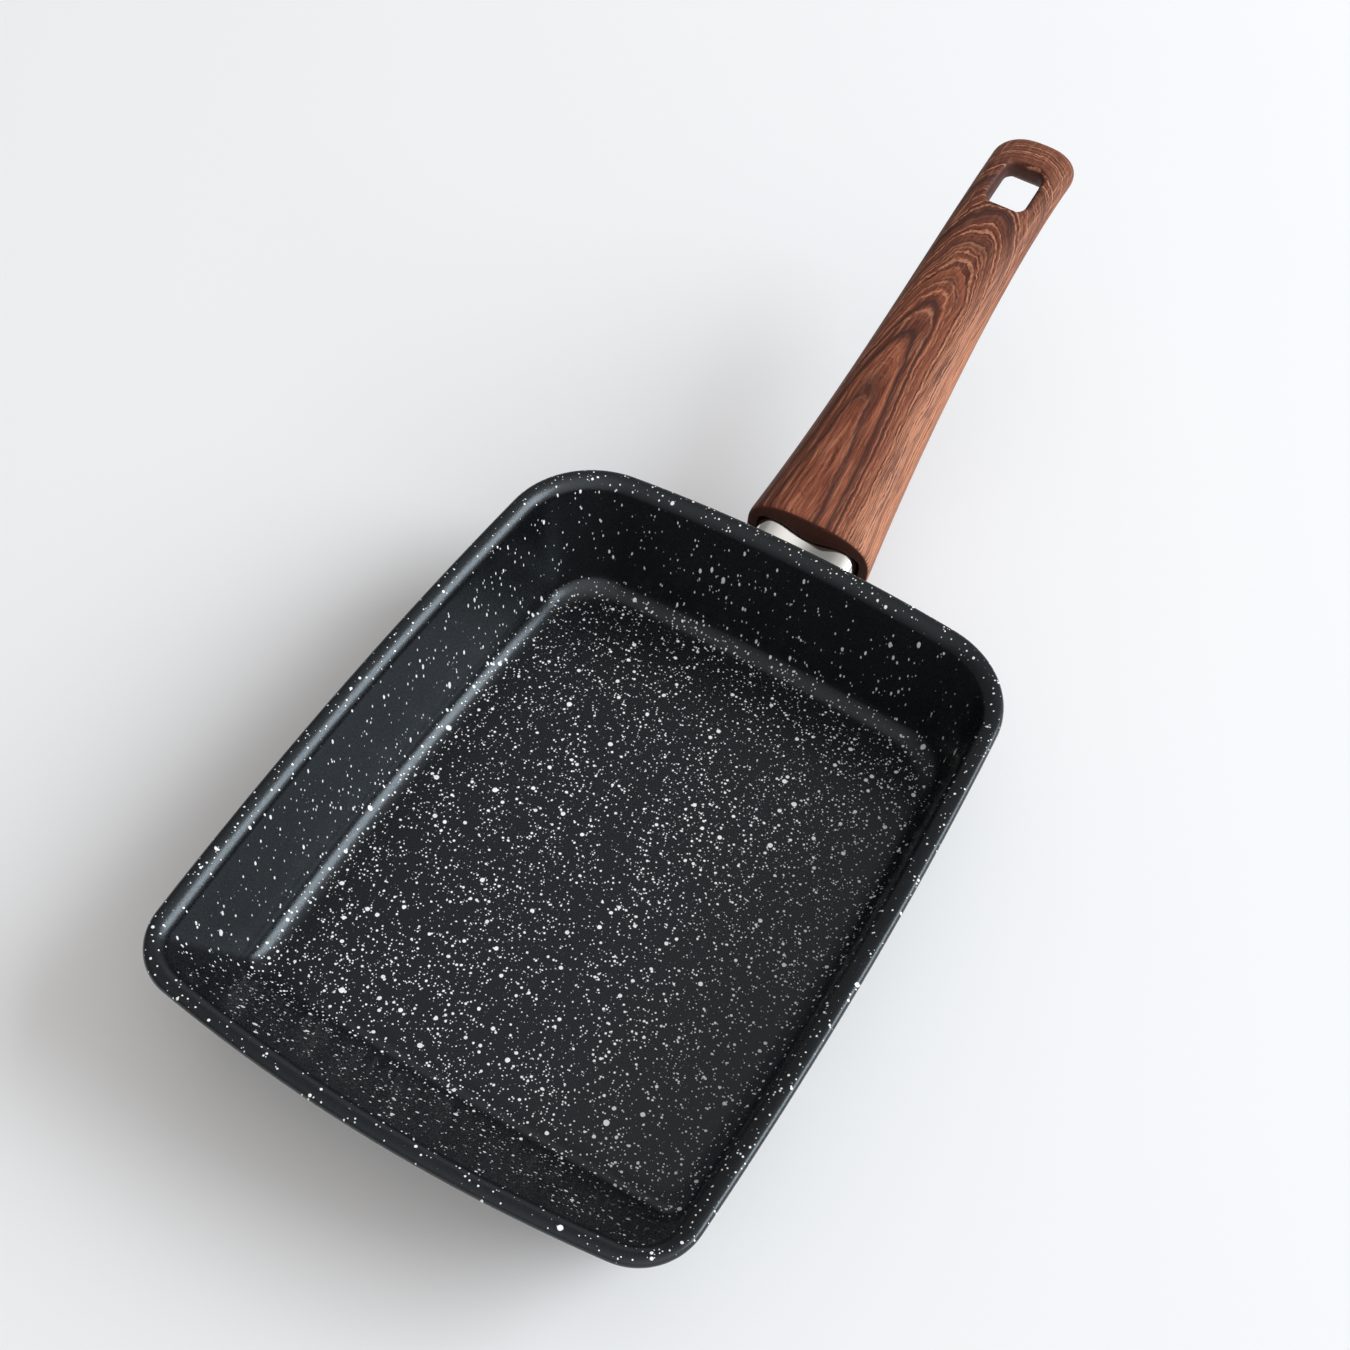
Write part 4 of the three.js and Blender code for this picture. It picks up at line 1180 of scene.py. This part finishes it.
def screw_mesh(seat):
    head_top = LOCK_LOW - GAP
    head_low = head_top - HEAD_HEIGHT
    tip = CAVITY_TOP + INSERT_HEIGHT
    head, shank, bend = HEAD_DIAMETER / 2, SCREW_DIAMETER / 2, HEAD_HEIGHT / 2
    profile = [(HEAD_FLAT * head, head_low)]
    profile += [(head - bend * (1 - math.sin(t)), head_low + bend * (1 - math.cos(t)))
                for t in steps(0, QUARTER, HEAD_STEPS)]
    profile += [(head, head_top - HEAD_EASE), (head - HEAD_EASE, head_top), (shank, head_top),
                (shank, tip - shank / 2), (shank / 2, tip)]
    blank = solid_mesh("screw", *skin([round_ring(seat, r, h) for r, h in profile]))
    return carved(blank, [cross_bar(seat, head_low, turn) for turn in (0, QUARTER)])


def lock_mesh(seat):
    """A split ring of square wire."""
    inner, outer, edge, top = SCREW_DIAMETER / 2 + GAP, LOCK_DIAMETER / 2, LOCK_EDGE, LOCK_THICKNESS
    corners = [(inner + edge, 0), (outer - edge, 0), (outer, edge), (outer, top - edge),
               (outer - edge, top), (inner + edge, top), (inner, top - edge), (inner, edge)]
    rings = [[turned_at(seat, r * math.cos(a), r * math.sin(a), LOCK_LOW + h) for r, h in corners]
             for a in steps(LOCK_SPLIT, FULL_TURN - LOCK_SPLIT, LOCK_STEPS)]
    return solid_mesh("lock", *skin(rings))


coating = speckled_coating()
steel = polished_steel()
wood = wood_grain()
aluminium = bare_metal("stud_aluminium", linear(176, 178, 181), linear(200, 202, 205), 0.36)
plated = bare_metal("plated_steel", linear(168, 164, 154), linear(204, 200, 190), 0.28)
brass = bare_metal("insert_brass", linear(172, 138, 66), linear(206, 172, 98), 0.32)

add_piece("pan_shell", pan_shell(), coating, "pan_body")
add_piece("bracket", bracket_mesh(), steel, "handle_bracket")
add_piece("handle_grip", handle_mesh(), wood, "handle")
for side, seat in zip(("left", "right"), STUD_SEATS):
    add_piece("stud_" + side, stud_mesh(seat), aluminium, "weld_stud_" + side)
    add_piece("washer_" + side, washer_mesh(seat), plated, "stud_washer_" + side)
    add_piece("nut_" + side, nut_mesh(seat), plated, "stud_nut_" + side)
add_piece("screw", screw_mesh(SCREW_SEAT_POINT), plated, "handle_screw")
add_piece("lock_ring", lock_mesh(SCREW_SEAT_POINT), plated, "screw_washer")
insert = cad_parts["handle_insert"]
insert.data.materials.clear()
insert.data.materials.append(brass)

# Floor, camera and light

FLOOR_REACH = 12000
FLOOR_DROP = 0.05
FLOOR_CLOUDS = 2.5
FLOOR_DARK = linear(233, 233, 234)
FLOOR_LIGHT = linear(238, 238, 238)


def floor_paint():
    m = new_paint("floor_paint")
    clouds = m.noise(m.place(), FLOOR_CLOUDS)
    return m.finish(Base_Color=m.mix(clouds, FLOOR_DARK, FLOOR_LIGHT), Roughness=0.9)


signs = ((-1, -1), (1, -1), (1, 1), (-1, 1))
corners = [(x * FLOOR_REACH, y * FLOOR_REACH, -FLOOR_DROP) for x, y in signs]
floor = show(solid_mesh("floor", corners, [(0, 1, 2, 3)]), "floor")
floor.data.materials.append(floor_paint())

# The camera's own axes and place, from the perspective of the rim and the floor in the picture
CAMERA_RIGHT = Vector((0.5009533612, -0.8629575334, 0.0659547225))
CAMERA_DOWN = Vector((-0.6759295969, -0.4376974356, -0.5929082010))
CAMERA_FORWARD = Vector((0.5405228116, 0.2524386072, -0.8025645393))
CAMERA_PLACE = Vector((-215.364, -115.107, 426.182))
SENSOR_WIDTH = 36
FOCAL_LENGTH = 49.44
NEAREST = 0.01
lens = bpy.data.cameras.new("camera")
lens.sensor_width = SENSOR_WIDTH
lens.lens = FOCAL_LENGTH
lens.clip_start = NEAREST
camera = bpy.data.objects.new("camera", lens)
camera.matrix_world = Matrix.Translation(CAMERA_PLACE * MM) @ Matrix(
    (CAMERA_RIGHT, -CAMERA_DOWN, -CAMERA_FORWARD)).transposed().to_4x4()
scene.collection.objects.link(camera)
scene.camera = camera

# Where the lamps point, in metres
LIGHT_TARGET = Vector((0.02, 0, 0.03))


def panel(name, way, distance, width, height, watts, colour):
    """A flat soft lamp in the given direction from the target, facing it; lengths are in metres."""
    light = bpy.data.lights.new(name, "AREA")
    light.shape = "RECTANGLE"
    light.size = width
    light.size_y = height
    light.energy = watts
    light.color = colour
    lamp = bpy.data.objects.new(name, light)
    way = Vector(way).normalized()
    lamp.location = way * distance + LIGHT_TARGET
    lamp.rotation_euler = way.to_track_quat("Z", "Y").to_euler()
    scene.collection.objects.link(lamp)


panel("window", (0.39, -0.71, 0.56), distance=3, width=2, height=1.9, watts=78, colour=(0.87, 0.94, 1))
panel("far_panel", (0.9, 0.28, 0.42), distance=1.6, width=1, height=0.7, watts=0.8, colour=(1, 1, 1))

# The room's own light: dim all round, and brighter towards the window, overhead and on the near side. Each
# bright part has its direction, its strength and how narrow it is.
ROOM_COLOUR = (1, 0.982, 0.968, 1)
ROOM_LEVEL = 0.23
ROOM_PARTS = (
    ((0.45, -0.75, 0.48), 0.12, 2),
    ((0.1, 0.1, 1), 0.1, 3),
    ((-0.32, -0.66, 0.62), 1.08, 2),
)


def room():
    m = Nodes(bpy.data.worlds.new("room"), "Background")
    way = m.add("ShaderNodeTexCoord").outputs["Generated"]
    glow = ROOM_LEVEL
    for centre, strength, narrow in ROOM_PARTS:
        facing = m.math("MAXIMUM", m.vector_math("DOT_PRODUCT", way, Vector(centre).normalized()), 0)
        glow = m.plus(m.times(m.math("POWER", facing, narrow), strength), glow)
    return m.finish(Color=ROOM_COLOUR, Strength=glow)


scene.world = room()
scene.view_settings.view_transform = "Standard"
